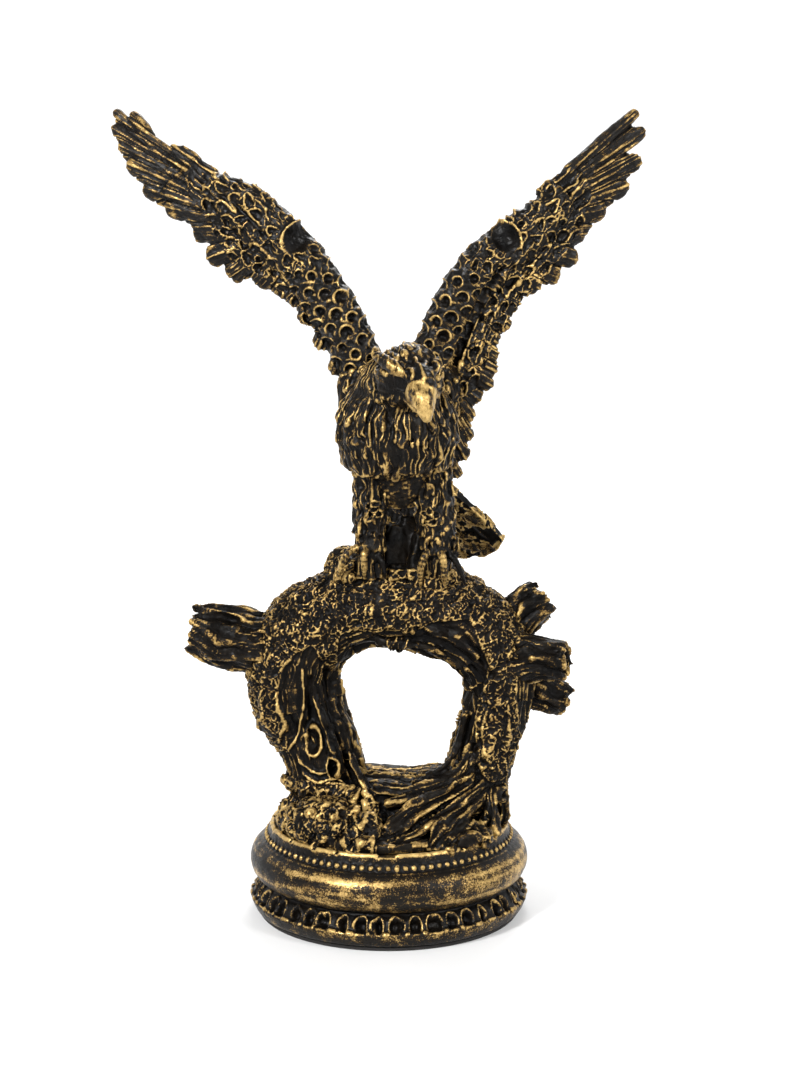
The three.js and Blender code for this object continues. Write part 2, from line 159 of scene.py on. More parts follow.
def cloud(points, size, seed=0):
    """Smooth noise from -1 to 1 with lumps of about the given size."""
    scaled = points / size
    cell = np.floor(scaled).astype(np.int64)
    part = scaled - cell
    part = part * part * (3 - 2 * part)
    total = 0.0
    for corner in np.ndindex(2, 2, 2):
        step = np.array(corner)
        weight = np.prod(np.where(step == 1, part, 1 - part), axis=-1)
        total = total + weight * scatter(cell + step, seed)
    return 2 * total - 1


def cells(points, size, seed=0):
    """Distances to the nearest and second nearest of scattered seeds, in units of the size."""
    scaled = points / size
    home = np.floor(scaled).astype(np.int64)
    first = np.full(len(points), FAR)
    second = np.full(len(points), FAR)
    for corner in np.ndindex(3, 3, 3):
        cell = home + np.array(corner) - 1
        seeds = cell + columns(*(scatter(cell, seed + axis) for axis in range(3)))
        away = np.linalg.norm(seeds - scaled, axis=-1)
        second = np.minimum(second, np.maximum(first, away))
        first = np.minimum(first, away)
    return first, second


def network(points, size, seed=0, width=0.16):
    """1 along the borders between cells, 0 inside them."""
    first, second = cells(points, size, seed)
    return peak(second - first, width)


# ---- Shells ----


def skin(rings, sides):
    """Faces over rings of points, with fans that close them to the two points after the rings."""
    faces = []
    for row in range(rings - 1):
        for side in range(sides):
            a = row * sides + side
            b = row * sides + (side + 1) % sides
            faces.append((a, b, b + sides, a + sides))
    first, last = rings * sides, rings * sides + 1
    end = (rings - 1) * sides
    for side in range(sides):
        faces.append((first, (side + 1) % sides, side))
        faces.append((last, end + side, end + (side + 1) % sides))
    return faces


def limb(stations, sides=10, steps=8, depth_axis=(0, 1, 0), square=1.0, roll=0.0):
    """A closed tube through stations of x, y, z, half width and half depth. square below 1 squares it."""
    rows = curve(stations, steps + 1)
    path = rows[:, :3]
    along = unit(np.gradient(path, axis=0))
    wide = unit(np.cross(along, np.array(depth_axis, dtype=float)))
    deep = unit(np.cross(wide, along))
    wide, deep = (
        wide * math.cos(roll) + deep * math.sin(roll),
        deep * math.cos(roll) - wide * math.sin(roll),
    )
    turn = np.linspace(0, math.tau, sides, endpoint=False)
    out = np.sign(np.cos(turn)) * np.abs(np.cos(turn)) ** square
    up = np.sign(np.sin(turn)) * np.abs(np.sin(turn)) ** square
    ring = path[:, None] + (
        wide[:, None] * rows[:, None, 3:4] * out[None, :, None]
        + deep[:, None] * rows[:, None, 4:5] * up[None, :, None]
    )
    return np.vstack((ring.reshape(-1, 3), path[:1], path[-1:])), skin(steps + 1, sides)


LEAF = (
    (0.0, 0.75, 0.7), (0.15, 0.95, 1.0), (0.4, 1.0, 1.0), (0.7, 1.0, 1.0), (0.88, 0.9, 0.9),
    (0.96, 0.68, 0.75), (1.0, 0.36, 0.5),
)


def leaf(root, tip, half_width, half_depth, face=FRONT, lift=0.0, roll=0.0, bow=0.0, sides=10, steps=9):
    """One feather: a long rounded blade from root to tip, lying with its back to the face direction."""
    root, tip, face = (np.array(part, dtype=float) for part in (root, tip, face))
    side = unit(np.cross(tip - root, face))
    stations = []
    for at, wide, deep in LEAF:
        spot = root + (tip - root) * at + face * lift * at * at + side * bow * math.sin(math.pi * at)
        stations.append((*spot, half_width * wide, half_depth * deep))
    return limb(stations, sides=sides, steps=steps, depth_axis=face, square=0.75, roll=roll)


def pebble(centre, size, seed=0, rough=0.15):
    """A lumpy closed dome."""
    turns, rows = 14, 9
    polar = np.linspace(0, math.pi, rows + 1)[1:-1, None]
    turn = np.linspace(0, math.tau, turns, endpoint=False)
    ring = columns(np.sin(polar) * np.cos(turn), np.sin(polar) * np.sin(turn), np.cos(polar)).reshape(-1, 3)
    places = np.vstack((ring, (0, 0, 1), (0, 0, -1)))
    places = places * (1 + rough * cloud(places + seed * 7.3, 0.7, seed)[:, None])
    faces = [(face[0], *face[:0:-1]) for face in skin(rows - 1, turns)]
    return np.array(centre) + places * np.array(size), faces


def hoop(centre, first, second, half_width, half_depth, **options):
    """A ring of round bar about a centre; first and second reach from there to its rim."""
    stations = []
    for index in range(9):
        turn = math.tau * index / 8
        spot = centre + np.array(first) * math.cos(turn) + np.array(second) * math.sin(turn)
        stations.append((*spot, half_width, half_depth))
    return limb(stations, **options)


def points_of(mesh):
    """A mesh's points, in millimetres."""
    places = np.empty(len(mesh.vertices) * 3)
    mesh.vertices.foreach_get("co", places)
    return places.reshape(-1, 3) / MM


def cad_shell(node):
    """The frame's own solid for a node, as a shell to work over."""
    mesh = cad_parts[node].data
    return points_of(mesh), [tuple(face.vertices) for face in mesh.polygons]


def joined(shells):
    """All the shells' points in one array and all their faces in one list."""
    faces = []
    start = 0
    for places, shell_faces in shells:
        faces.extend(tuple(index + start for index in face) for face in shell_faces)
        start += len(places)
    return np.vstack([places for places, _ in shells]), faces


def mesh_of(name, shells):
    places, faces = joined(shells)
    mesh = bpy.data.meshes.new(name)
    mesh.from_pydata((places * MM).tolist(), [], faces)
    return mesh


def surface_of(shells):
    """A tree to cast rays at, in millimetres."""
    places, faces = joined(shells)
    return BVHTree.FromPolygons(places.tolist(), faces)


def touch(surface, outside, towards):
    """Where a ray from outside first meets the surface, and the surface's direction there."""
    spot, normal, _, _ = surface.ray_cast(Vector(outside), Vector(towards).normalized())
    if spot is None:
        return None
    return np.array(spot), np.array(normal)


def plume(surface, outside, towards, flow, length, half_width, half_depth, lift, roll=0.3):
    """A small feather laid on the surface along the flow, or nothing where the ray misses."""
    met = touch(surface, outside, towards)
    if met is None:
        return []
    spot, normal = met
    if normal @ np.array(towards) > 0:
        normal = -normal
    run = unit(flow - normal * (flow @ normal))
    root = spot - run * length * 0.45 - normal * 0.2
    tip = spot + run * length * 0.55 + normal * lift
    return [leaf(root, tip, half_width, half_depth, face=normal, roll=roll, sides=8, steps=6)]


# ---- Cast pieces ----


class Cast:
    """Closed shells fused into one skin, held as arrays in millimetres while it is chased."""

    def __init__(self, shells, voxel, relax):
        blank = bpy.data.objects.new("blank", mesh_of("blank", shells))
        bpy.context.collection.objects.link(blank)
        fuse = blank.modifiers.new("fuse", "REMESH")
        fuse.mode = "VOXEL"
        fuse.voxel_size = voxel * MM
        fuse.use_smooth_shade = True
        graph = bpy.context.evaluated_depsgraph_get()
        self.mesh = bpy.data.meshes.new_from_object(blank.evaluated_get(graph))
        bpy.data.meshes.remove(blank.data)
        self.place = points_of(self.mesh)
        links = np.empty(len(self.mesh.edges) * 2, dtype=np.int64)
        self.mesh.edges.foreach_get("vertices", links)
        self.start, self.end = links.reshape(-1, 2).T
        self.count = len(self.place)
        self.links = np.bincount(links, minlength=self.count)
        self.fields = {}
        self.relax(relax)

    def average(self, values):
        """Each point's neighbours' mean."""
        total = np.bincount(self.start, values[self.end], self.count)
        total = total + np.bincount(self.end, values[self.start], self.count)
        return total / np.maximum(self.links, 1)

    def blurred(self, values, rounds):
        for _ in range(rounds):
            values = 0.5 * values + 0.5 * self.average(values)
        return values

    def blurred_places(self, rounds):
        return columns(*(self.blurred(self.place[:, axis], rounds) for axis in range(3)))

    def relax(self, rounds):
        self.place = self.blurred_places(rounds)

    def normals(self):
        self.mesh.vertices.foreach_set("co", (self.place * MM).ravel())
        self.mesh.update()
        directions = np.empty(len(self.place) * 3)
        self.mesh.vertices.foreach_get("normal", directions)
        return directions.reshape(-1, 3)

    def push(self, amount):
        self.place = self.place + self.normals() * amount[:, None]

    def keep(self, name, values):
        """A number or a vector for each point, for the finish to read."""
        self.fields[name] = values

    def rub(self, share, extra=0.0, fine_part=0.6):
        """How far each point stands proud of its surroundings; about the given share comes out above 0."""
        facing = self.normals()
        value = np.zeros(self.count)
        for rounds, part in ((FINE_BLUR, fine_part), (WIDE_BLUR, 1 - fine_part)):
            proud = ((self.place - self.blurred_places(rounds)) * facing).sum(axis=1)
            value += part * np.tanh(proud / (1.6 * proud.std()))
        self.keep("rub", value - np.quantile(value, 1 - share) + extra)

    def piece(self, name, *nodes, look):
        self.normals()
        self.mesh.name = name
        for field, values in self.fields.items():
            kind, part = ("FLOAT_VECTOR", "vector") if values.ndim == 2 else ("FLOAT", "value")
            layer = self.mesh.attributes.new(field, kind, "POINT")
            layer.data.foreach_set(part, values.ravel())
        settle(bpy.data.objects.new(name, self.mesh), look, BRONZE, *nodes)


def settle(made, look, slot, *nodes):
    """Links a piece, gives it its finish, and ties it to the frame in the nodes' place."""
    bpy.context.collection.objects.link(made)
    made.data.materials.clear()
    made.data.materials.append(look)
    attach(made, BODY)
    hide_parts(*nodes)


def trace(points, stations, count=24, flat_blade=False):
    """For each point, its nearest place on a limb: distance over radius, run along, and run around.

    On a flat blade the distance is taken in x and z only, and the last number is the way across it.
    """
    rows = curve(stations, count)
    path = rows[:, :3]
    best = np.full(len(points), FAR)
    run = np.zeros(len(points))
    around = np.zeros(len(points))
    reached = 0.0
    for i in range(count - 1):
        step = path[i + 1] - path[i]
        length = np.linalg.norm(step)
        direction = step / length
        off = points - path[i]
        share = np.clip(off @ direction, 0, length)
        apart = off - share[:, None] * direction
        wide = unit(np.cross(direction, (0.0, 1.0, 0.0)))
        deep = np.cross(wide, direction)
        radius = 0.5 * (rows[i, 3] + rows[i, 4])
        if flat_blade:
            apart[:, 1] = 0.0
            about = apart @ wide
        else:
            about = np.arctan2(apart @ deep, apart @ wide) * radius
        ratio = np.linalg.norm(apart, axis=1) / radius
        nearer = ratio < best
        best = np.where(nearer, ratio, best)
        run = np.where(nearer, reached + share, run)
        around = np.where(nearer, about, around)
        reached += length
    return best, run, around


def flow_of(points, limbs, flat_blade=False):
    """Run along and around the nearest limb, its number, its distance over radius, and the next limb's."""
    best = np.full(len(points), FAR)
    second = np.full(len(points), FAR)
    run = np.zeros(len(points))
    around = np.zeros(len(points))
    owner = np.zeros(len(points), dtype=int)
    for index, stations in enumerate(limbs):
        ratio, along, about = trace(points, stations, flat_blade=flat_blade)
        nearer = ratio < best
        second = np.where(nearer, best, np.minimum(second, ratio))
        best = np.where(nearer, ratio, best)
        run = np.where(nearer, along + LIMB_SHIFT * index, run)
        around = np.where(nearer, about, around)
        owner = np.where(nearer, index, owner)
    return run, around, owner, best, second


def ridged(places, seed):
    """Sharp crests between smooth hollows, from about -2 to 1."""
    return 1 - 3.2 * np.abs(cloud(places, 1.0, seed))


def beside(points, path):
    """Run along a flat path in x and z, the signed distance to its left, and the plain distance."""
    path = curve(path, 40)
    best = np.full(len(points), FAR)
    run = np.zeros(len(points))
    side = np.zeros(len(points))
    reached = 0.0
    for start, end in zip(path[:-1], path[1:]):
        step = end - start
        length = np.linalg.norm(step)
        direction = step / length
        off = points[:, (0, 2)] - start
        share = np.clip(off @ direction, 0, length)
        apart = off - share[:, None] * direction
        away = np.linalg.norm(apart, axis=1)
        nearer = away < best
        best = np.where(nearer, away, best)
        run = np.where(nearer, reached + share, run)
        side = np.where(nearer, off @ np.array((-direction[1], direction[0])), side)
        reached += length
    return run, side, best


def inside(points, outline):
    """Whether each point lies within a flat outline in x and z."""
    outline = np.array(outline, dtype=float)
    x, z = points[:, 0], points[:, 2]
    within = np.zeros(len(points), dtype=bool)
    for (x0, z0), (x1, z1) in zip(outline, np.roll(outline, -1, axis=0)):
        if z0 == z1:
            continue
        crosses = (z0 > z) != (z1 > z)
        within ^= crosses & (x < x0 + (z - z0) * (x1 - x0) / (z1 - z0))
    return within


def flat(node, outline):
    """An outline or path in x and z, fitted to the node's box."""
    rows = fitted(node, [(x, 0, z) for x, z in outline])
    return rows[:, (0, 2)]


def vein(points, path, width, height):
    """A line raised along a flat path, or sunk where the height is negative, that tapers at its ends."""
    run, _, away = beside(points, path)
    whole = run.max()
    return height * peak(away, width) * (ease(run, 0, 3) * ease(run, whole, whole - 3))


# ---- Finish ----


def new_group(name, inputs, outputs):
    """A shader node group. An input without a number takes a vector; each output but Color is a number."""
    group = bpy.data.node_groups.new(name, "ShaderNodeTree")
    for label, value in inputs.items():
        kind = "NodeSocketVector" if value is None else "NodeSocketFloat"
        socket = group.interface.new_socket(label, in_out="INPUT", socket_type=kind)
        if value is not None:
            socket.default_value = value
    for label in outputs:
        kind = "NodeSocketColor" if label == "Color" else "NodeSocketFloat"
        group.interface.new_socket(label, in_out="OUTPUT", socket_type=kind)
    return group, group.nodes.new("NodeGroupInput"), group.nodes.new("NodeGroupOutput")


def arithmetic(tree, operation, *terms):
    """A Math node; terms are numbers or sockets."""
    node = tree.nodes.new("ShaderNodeMath")
    node.operation = operation
    for index, term in enumerate(terms):
        if isinstance(term, (int, float)):
            node.inputs[index].default_value = term
        else:
            tree.links.new(term, node.inputs[index])
    return node.outputs[0]


def band(tree, value, low, high, to_low=0.0, to_high=1.0):
    node = tree.nodes.new("ShaderNodeMapRange")
    node.interpolation_type = "SMOOTHSTEP"
    tree.links.new(value, node.inputs["Value"])
    node.inputs["From Min"].default_value = low
    node.inputs["From Max"].default_value = high
    node.inputs["To Min"].default_value = to_low
    node.inputs["To Max"].default_value = to_high
    return node.outputs["Result"]


def grain(tree, place, scale, detail=3.0, roughness=0.6):
    """A Noise texture; the scale is in lumps for each metre."""
    node = tree.nodes.new("ShaderNodeTexNoise")
    tree.links.new(place, node.inputs["Vector"])
    node.inputs["Scale"].default_value = scale
    node.inputs["Detail"].default_value = detail
    node.inputs["Roughness"].default_value = roughness
    return node.outputs["Fac"]


def stretched(tree, vector, across, along):
    """The chased surface's own coordinates, scaled apart so that noise on them runs in streaks."""
    node = tree.nodes.new("ShaderNodeVectorMath")
    node.operation = "MULTIPLY"
    tree.links.new(vector, node.inputs[0])
    node.inputs[1].default_value = (across, along, 0.0)
    return node.outputs["Vector"]


def blend_colour(tree, factor, first, second):
    node = tree.nodes.new("ShaderNodeMix")
    node.data_type = "RGBA"
    tree.links.new(factor, node.inputs[0])
    for socket, colour in ((node.inputs[6], first), (node.inputs[7], second)):
        if isinstance(colour, tuple):
            socket.default_value = colour
        else:
            tree.links.new(colour, socket)
    return node.outputs[2]


def rub_group():
    """Where the gold stays: on what stands proud, broken into flecks."""
    inputs = {"Place": None, "Rub": 0.0, "Fleck": 0.5}
    group, given, made = new_group("Gold rub", inputs, ("Gold", "Bright", "Dust"))
    place = given.outputs["Place"]
    fleck = arithmetic(group, "SUBTRACT", grain(group, place, 1700, 3.0, 0.75), 0.5)
    fleck = arithmetic(group, "MULTIPLY", fleck, given.outputs["Fleck"])
    patch = arithmetic(group, "SUBTRACT", grain(group, place, 210, 3.0, 0.6), 0.5)
    patch = arithmetic(group, "MULTIPLY", patch, 1.6)
    total = arithmetic(group, "ADD", given.outputs["Rub"], patch)
    speckled = arithmetic(group, "ADD", total, fleck)
    group.links.new(band(group, speckled, 0.0, 0.14), made.inputs["Gold"])
    group.links.new(band(group, speckled, 0.02, 0.55), made.inputs["Bright"])
    dust = band(group, grain(group, place, 2300, 2.0, 0.8), 0.62, 0.74)
    dust = arithmetic(group, "MULTIPLY", dust, band(group, total, -0.7, 0.1))
    group.links.new(dust, made.inputs["Dust"])
    return group


def patina_group():
    """The near-black lacquer: its colour and how it shines."""
    inputs = {"Place": None, "Rub": 0.0}
    group, given, made = new_group("Patina", inputs, ("Color", "Roughness", "Height"))
    place = given.outputs["Place"]
    cloudy = band(group, grain(group, place, 130, 4.0, 0.6), 0.35, 0.7)
    fine = grain(group, place, 1100, 4.0, 0.65)
    black = blend_colour(group, cloudy, LACQUER_BLACK, LACQUER_BROWN)
    proud = band(group, given.outputs["Rub"], -0.5, 0.1)
    group.links.new(blend_colour(group, proud, black, LACQUER_WORN), made.inputs["Color"])
    group.links.new(band(group, fine, 0.3, 0.7, 0.26, 0.46), made.inputs["Roughness"])
    group.links.new(fine, made.inputs["Height"])
    return group


def moss_group():
    """A fine raised network, for moss and coverts."""
    group, given, made = new_group("Network", {"Place": None, "Weight": 0.0}, ("Ridge",))
    warp = group.nodes.new("ShaderNodeTexNoise")
    group.links.new(given.outputs["Place"], warp.inputs["Vector"])
    warp.inputs["Scale"].default_value = 420
    warp.inputs["Detail"].default_value = 2
    shift = group.nodes.new("ShaderNodeVectorMath")
    shift.operation = "MULTIPLY_ADD"
    group.links.new(warp.outputs["Color"], shift.inputs[0])
    shift.inputs[1].default_value = (0.0028, 0.0028, 0.0028)
    group.links.new(given.outputs["Place"], shift.inputs[2])
    cell = group.nodes.new("ShaderNodeTexVoronoi")
    cell.feature = "DISTANCE_TO_EDGE"
    group.links.new(shift.outputs["Vector"], cell.inputs["Vector"])
    cell.inputs["Scale"].default_value = 480
    ridge = band(group, cell.outputs["Distance"], 0.20, 0.03)
    breaks = band(group, grain(group, given.outputs["Place"], 650, 2.0), 0.38, 0.56)
    ridge = arithmetic(group, "MULTIPLY", ridge, breaks)
    ridge = arithmetic(group, "MULTIPLY", ridge, given.outputs["Weight"])
    group.links.new(ridge, made.inputs["Ridge"])
    return group


def streak_group():
    """Fine lines that follow the feather or the wood."""
    group, given, made = new_group("Streaks", {"Grain": None, "Weight": 1.0}, ("Line",))
    fine = grain(group, stretched(group, given.outputs["Grain"], 1.0, 0.12), 1.1, 3.0, 0.6)
    ridge = arithmetic(group, "ABSOLUTE", arithmetic(group, "SUBTRACT", fine, 0.5))
    line = band(group, ridge, 0.07, 0.0)
    group.links.new(arithmetic(group, "MULTIPLY", line, given.outputs["Weight"]), made.inputs["Line"])
    return group


def relief(tree, height, distance, strength):
    """A Bump node, the distance in metres."""
    bump = tree.nodes.new("ShaderNodeBump")
    bump.inputs["Distance"].default_value = distance
    bump.inputs["Strength"].default_value = strength
    tree.links.new(height, bump.inputs["Height"])
    tree.links.new(bump.outputs["Normal"], tree.nodes["Principled BSDF"].inputs["Normal"])


def new_look(name):
    """A material with its node tree, its shader and its place coordinates."""
    material = bpy.data.materials.new(name)
    material.use_nodes = True
    tree = material.node_tree
    place = tree.nodes.new("ShaderNodeTexCoord").outputs["Object"]
    return material, tree, tree.nodes["Principled BSDF"], place


LACQUER_BLACK = (0.0016, 0.0015, 0.0014, 1)
LACQUER_BROWN = (0.005, 0.0036, 0.0024, 1)
LACQUER_WORN = (0.011, 0.009, 0.0065, 1)


def use_group(tree, group, **sockets):
    node = tree.nodes.new("ShaderNodeGroup")
    node.node_tree = group
    for label, value in sockets.items():
        if isinstance(value, (int, float)):
            node.inputs[label].default_value = value
        else:
            tree.links.new(value, node.inputs[label])
    return node


def attribute(tree, name, output):
    node = tree.nodes.new("ShaderNodeAttribute")
    node.attribute_name = name
    return node.outputs[output]


def bronze_look(name, groups, colours, fleck, net, streaks, shine):
    """Patina with rubbed gold. The weights say how much network and how many streaks join the relief."""
    material, tree, shader, place = new_look(name)
    shader.inputs["Specular IOR Level"].default_value = shine
    rub = attribute(tree, "rub", "Fac")
    moss = attribute(tree, "moss", "Fac")
    netted = use_group(tree, groups["network"], Place=place, Weight=arithmetic(tree, "MULTIPLY", moss, net))
    lined = arithmetic(tree, "MULTIPLY", arithmetic(tree, "SUBTRACT", 1.0, moss), streaks)
    lines = use_group(tree, groups["streaks"], Grain=attribute(tree, "grain", "Vector"), Weight=lined)
    raised = arithmetic(tree, "ADD", rub, netted.outputs["Ridge"])
    raised = arithmetic(tree, "ADD", raised, lines.outputs["Line"])
    gold = use_group(tree, groups["rub"], Place=place, Rub=raised, Fleck=fleck)
    patina = use_group(tree, groups["patina"], Place=place, Rub=rub)
    dust = arithmetic(tree, "MULTIPLY", gold.outputs["Dust"], 0.6)
    leafed = arithmetic(tree, "MAXIMUM", gold.outputs["Gold"], dust)
    worn = band(tree, grain(tree, place, 500, 4.0, 0.7), 0.3, 0.7, 0.35, 1.0)
    tone = blend_colour(tree, arithmetic(tree, "MULTIPLY", worn, gold.outputs["Bright"]), *colours)
    tree.links.new(blend_colour(tree, leafed, patina.outputs["Color"], tone), shader.inputs["Base Color"])
    tree.links.new(arithmetic(tree, "MULTIPLY", leafed, 0.6), shader.inputs["Metallic"])
    tree.links.new(patina.outputs["Roughness"], shader.inputs["Roughness"])
    height = arithmetic(tree, "MULTIPLY", patina.outputs["Height"], 0.3)
    height = arithmetic(tree, "ADD", height, netted.outputs["Ridge"])
    height = arithmetic(tree, "ADD", height, lines.outputs["Line"])
    relief(tree, height, 0.00035, 0.8)
    return material


def plain_look(name, colour, roughness, metallic, scale, spread, bump_height):
    """One colour, clouded, with a fine bump."""
    material, tree, shader, place = new_look(name)
    noise = grain(tree, place, scale, 4.0, 0.7)
    pale = tuple(min(1.0, part * (1 + spread)) for part in colour)
    deep = tuple(part * (1 - spread) for part in colour)
    tree.links.new(blend_colour(tree, noise, (*deep, 1), (*pale, 1)), shader.inputs["Base Color"])
    dull = band(tree, noise, 0.3, 0.7, roughness - 0.08, roughness + 0.05)
    tree.links.new(dull, shader.inputs["Roughness"])
    shader.inputs["Metallic"].default_value = metallic
    relief(tree, noise, bump_height, 0.6)
    return material


BRONZES = {
    "tree": {"fleck": 1.0, "net": 0.4, "streaks": 0.18, "shine": 0.08},
    "bird": {"fleck": 0.9, "net": 0.2, "streaks": 0.25, "shine": 0.11},
    "wing": {"fleck": 0.9, "net": 0.15, "streaks": 0.25, "shine": 0.16},
    "plinth": {"fleck": 2.4, "net": 0.0, "streaks": 0.1, "shine": 0.12},
}


LOOKS = {}


def make_looks(gold_deep, gold_bright):
    groups = {
        "rub": rub_group(),
        "patina": patina_group(),
        "network": moss_group(),
        "streaks": streak_group(),
    }
    colours = (*gold_deep, 1), (*gold_bright, 1)
    for part, weights in BRONZES.items():
        LOOKS[part] = bronze_look("Patina " + part, groups, colours, **weights)
    LOOKS["steel"] = plain_look("Zinc plated steel", (0.62, 0.62, 0.63), 0.35, 1.0, 900, 0.12, 0.00005)
    LOOKS["felt"] = plain_look("Black felt", (0.012, 0.011, 0.010), 0.9, 0.0, 2200, 0.4, 0.0004)


# ---- Plinth ----

PEARLS = 92
PEARL_RADIUS, PEARL_HEIGHT = 44.1, 28.5
ARCHES = 46


def lathe(profile, segments, closed=True):
    """A turned shell from a profile of radius and height; an open one is a bare surface."""
    count = len(profile)
    turn = np.linspace(0, math.tau, segments, endpoint=False)[:, None]
    radius, height = np.array(profile).T
    places = columns(np.cos(turn) * radius, np.sin(turn) * radius, height).reshape(-1, 3)
    faces = []
    for i in range(segments):
        j = (i + 1) % segments
        for k in range(count if closed else count - 1):
            n = (k + 1) % count
            faces.append((i * count + k, j * count + k, j * count + n, i * count + n))
    return places, faces


def plinth_profile():
    """From the foot's inner edge out, up and over the rim to the deck, as radius and height."""
    outline = [(43.0, 1.9), (47.4, 1.9), (48.4, 2.5), (49.3, 4.2), (49.9, 6.0), (49.6, 6.9), (48.9, 7.4)]
    outline += [(48.0, 9.0), (47.0, 10.7), (45.8, 11.8), (45.0, 12.2), (45.4, 13.2)]
    for i in range(13):
        turn = math.radians(-70 + 140 * i / 12)
        outline.append((43.9 + 6.1 * math.cos(turn), 19.9 + 6.9 * math.sin(turn)))
    outline += [(45.4, 27.0), (44.6, 27.2), (43.8, 28.0), (43.5, 29.6), (43.1, 31.2), (42.8, 32.4)]
    outline += [(42.3, 33.1), (41.7, 33.1), (41.2, 32.4), (40.7, 31.9), (30.0, 31.9), (12.0, 31.9)]
    outline += [(4.0, 31.9), (4.0, 27.5), (36.0, 27.0), (41.0, 20.0)]
    return outline


def round_cloud(turn, radius, size, seed):
    """Noise that changes round the plinth only."""
    return cloud(columns(turn * radius / size, 0.0, 0.0), 1.0, seed)


def make_plinth(pearls, arches):
    rows = curve(plinth_profile() + plinth_profile()[:1], 260)[:-1]
    shells = [lathe(rows, 300)]
    for i in range(pearls):
        turn = math.tau * i / pearls
        centre = (PEARL_RADIUS * math.cos(turn), PEARL_RADIUS * math.sin(turn), PEARL_HEIGHT)
        shells.append(pebble(centre, (0.95, 0.95, 0.95), rough=0.05))
    cast = Cast([(fitted("plinth", places), faces) for places, faces in shells], 0.5, 1)
    place = cast.place
    radius = np.hypot(place[:, 0], place[:, 1])
    turn = np.arctan2(place[:, 1], place[:, 0])
    height = place[:, 2]
    arch = turn * arches / math.tau + 0.22 * round_cloud(turn, 20, 1, 2)
    across = (arch - np.round(arch)) * math.tau * 48 / arches
    away = np.hypot(across / 2.3, (height - 9.2) / 2.6)
    cove = ease(height, 6.2, 7.4) * ease(height, 12.6, 11.8) * ease(radius, 42, 44)
    hoops = peak(away - 1, 0.14) * ease(height, 7.6, 9.4)
    teeth = peak(height - 6.8, 0.7) * ease(np.abs(across), 1.7, 2.8) * ease(radius, 42, 44)
    chips = ease(round_cloud(turn, 42, 3.0, 9), 0.55, 0.7)
    rim = ease(height, 31.9, 32.5) * ease(radius, 41.0, 41.5)
    cast.push(cove * (0.65 * hoops - 2.6 * peak(away, 0.74, 4)) + 0.6 * teeth - 0.9 * chips * rim)
    cast.push(0.07 * cloud(place, 5.0, 3) + 0.06 * cloud(place, 1.6, 4))
    torus = ease(height, 13.5, 16.0) * ease(height, 26.6, 25.0)
    foot = ease(height, 7.0, 6.2)
    streak = cloud(columns(turn * 46 / 9.0, height / 1.2, 0.0), 1.0, 5)
    broad = cloud(columns(turn * 46 / 30.0, height / 3.0, 0.0), 1.0, 6)
    crest = peak(height - 18.0, 3.4) + 1.1 * peak(height - 24.4, 0.9)
    gold = torus * (-0.30 + 0.50 * crest + 0.26 * streak + 0.35 * broad) + foot * (-0.22 + 0.30 * broad)
    cast.rub(0.12)
    worn = ease(round_cloud(turn, 42, 2.2, 11), -0.2, 0.5)
    level = cast.fields["rub"] - cove * (1 - teeth) * (0.35 + 0.4 * worn) + 0.8 * rim * (1 - chips)
    smooth = np.maximum(torus, foot)
    cast.keep("rub", level * (1 - smooth) + smooth * gold)
    cast.keep("moss", np.zeros(cast.count))
    cast.keep("grain", columns(height, turn * 46, 0.0))
    cast.piece("plinth_casting", "plinth", look=LOOKS["plinth"])


def make_base_fittings():
    low, high = (np.array(corner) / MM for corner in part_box("felt_pad"))
    radius, foot, top = high[0], low[2], high[2]
    profile = [(0.5, foot), (radius - 0.4, foot), (radius, foot + 0.4)]
    profile += [(radius, top - 0.3), (radius - 0.3, top), (0.5, top)]
    mesh = mesh_of("felt_disc", [lathe(profile, 160)])
    settle(bpy.data.objects.new("felt_disc", mesh), LOOKS["felt"], "felt", "felt_pad")
    for name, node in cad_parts.items():
        if name.startswith("fixing") or name.endswith("_rod") or "pin" in name.split("_"):
            node.data.materials.clear()
            node.data.materials.append(LOOKS["steel"])


# ---- Tree ----

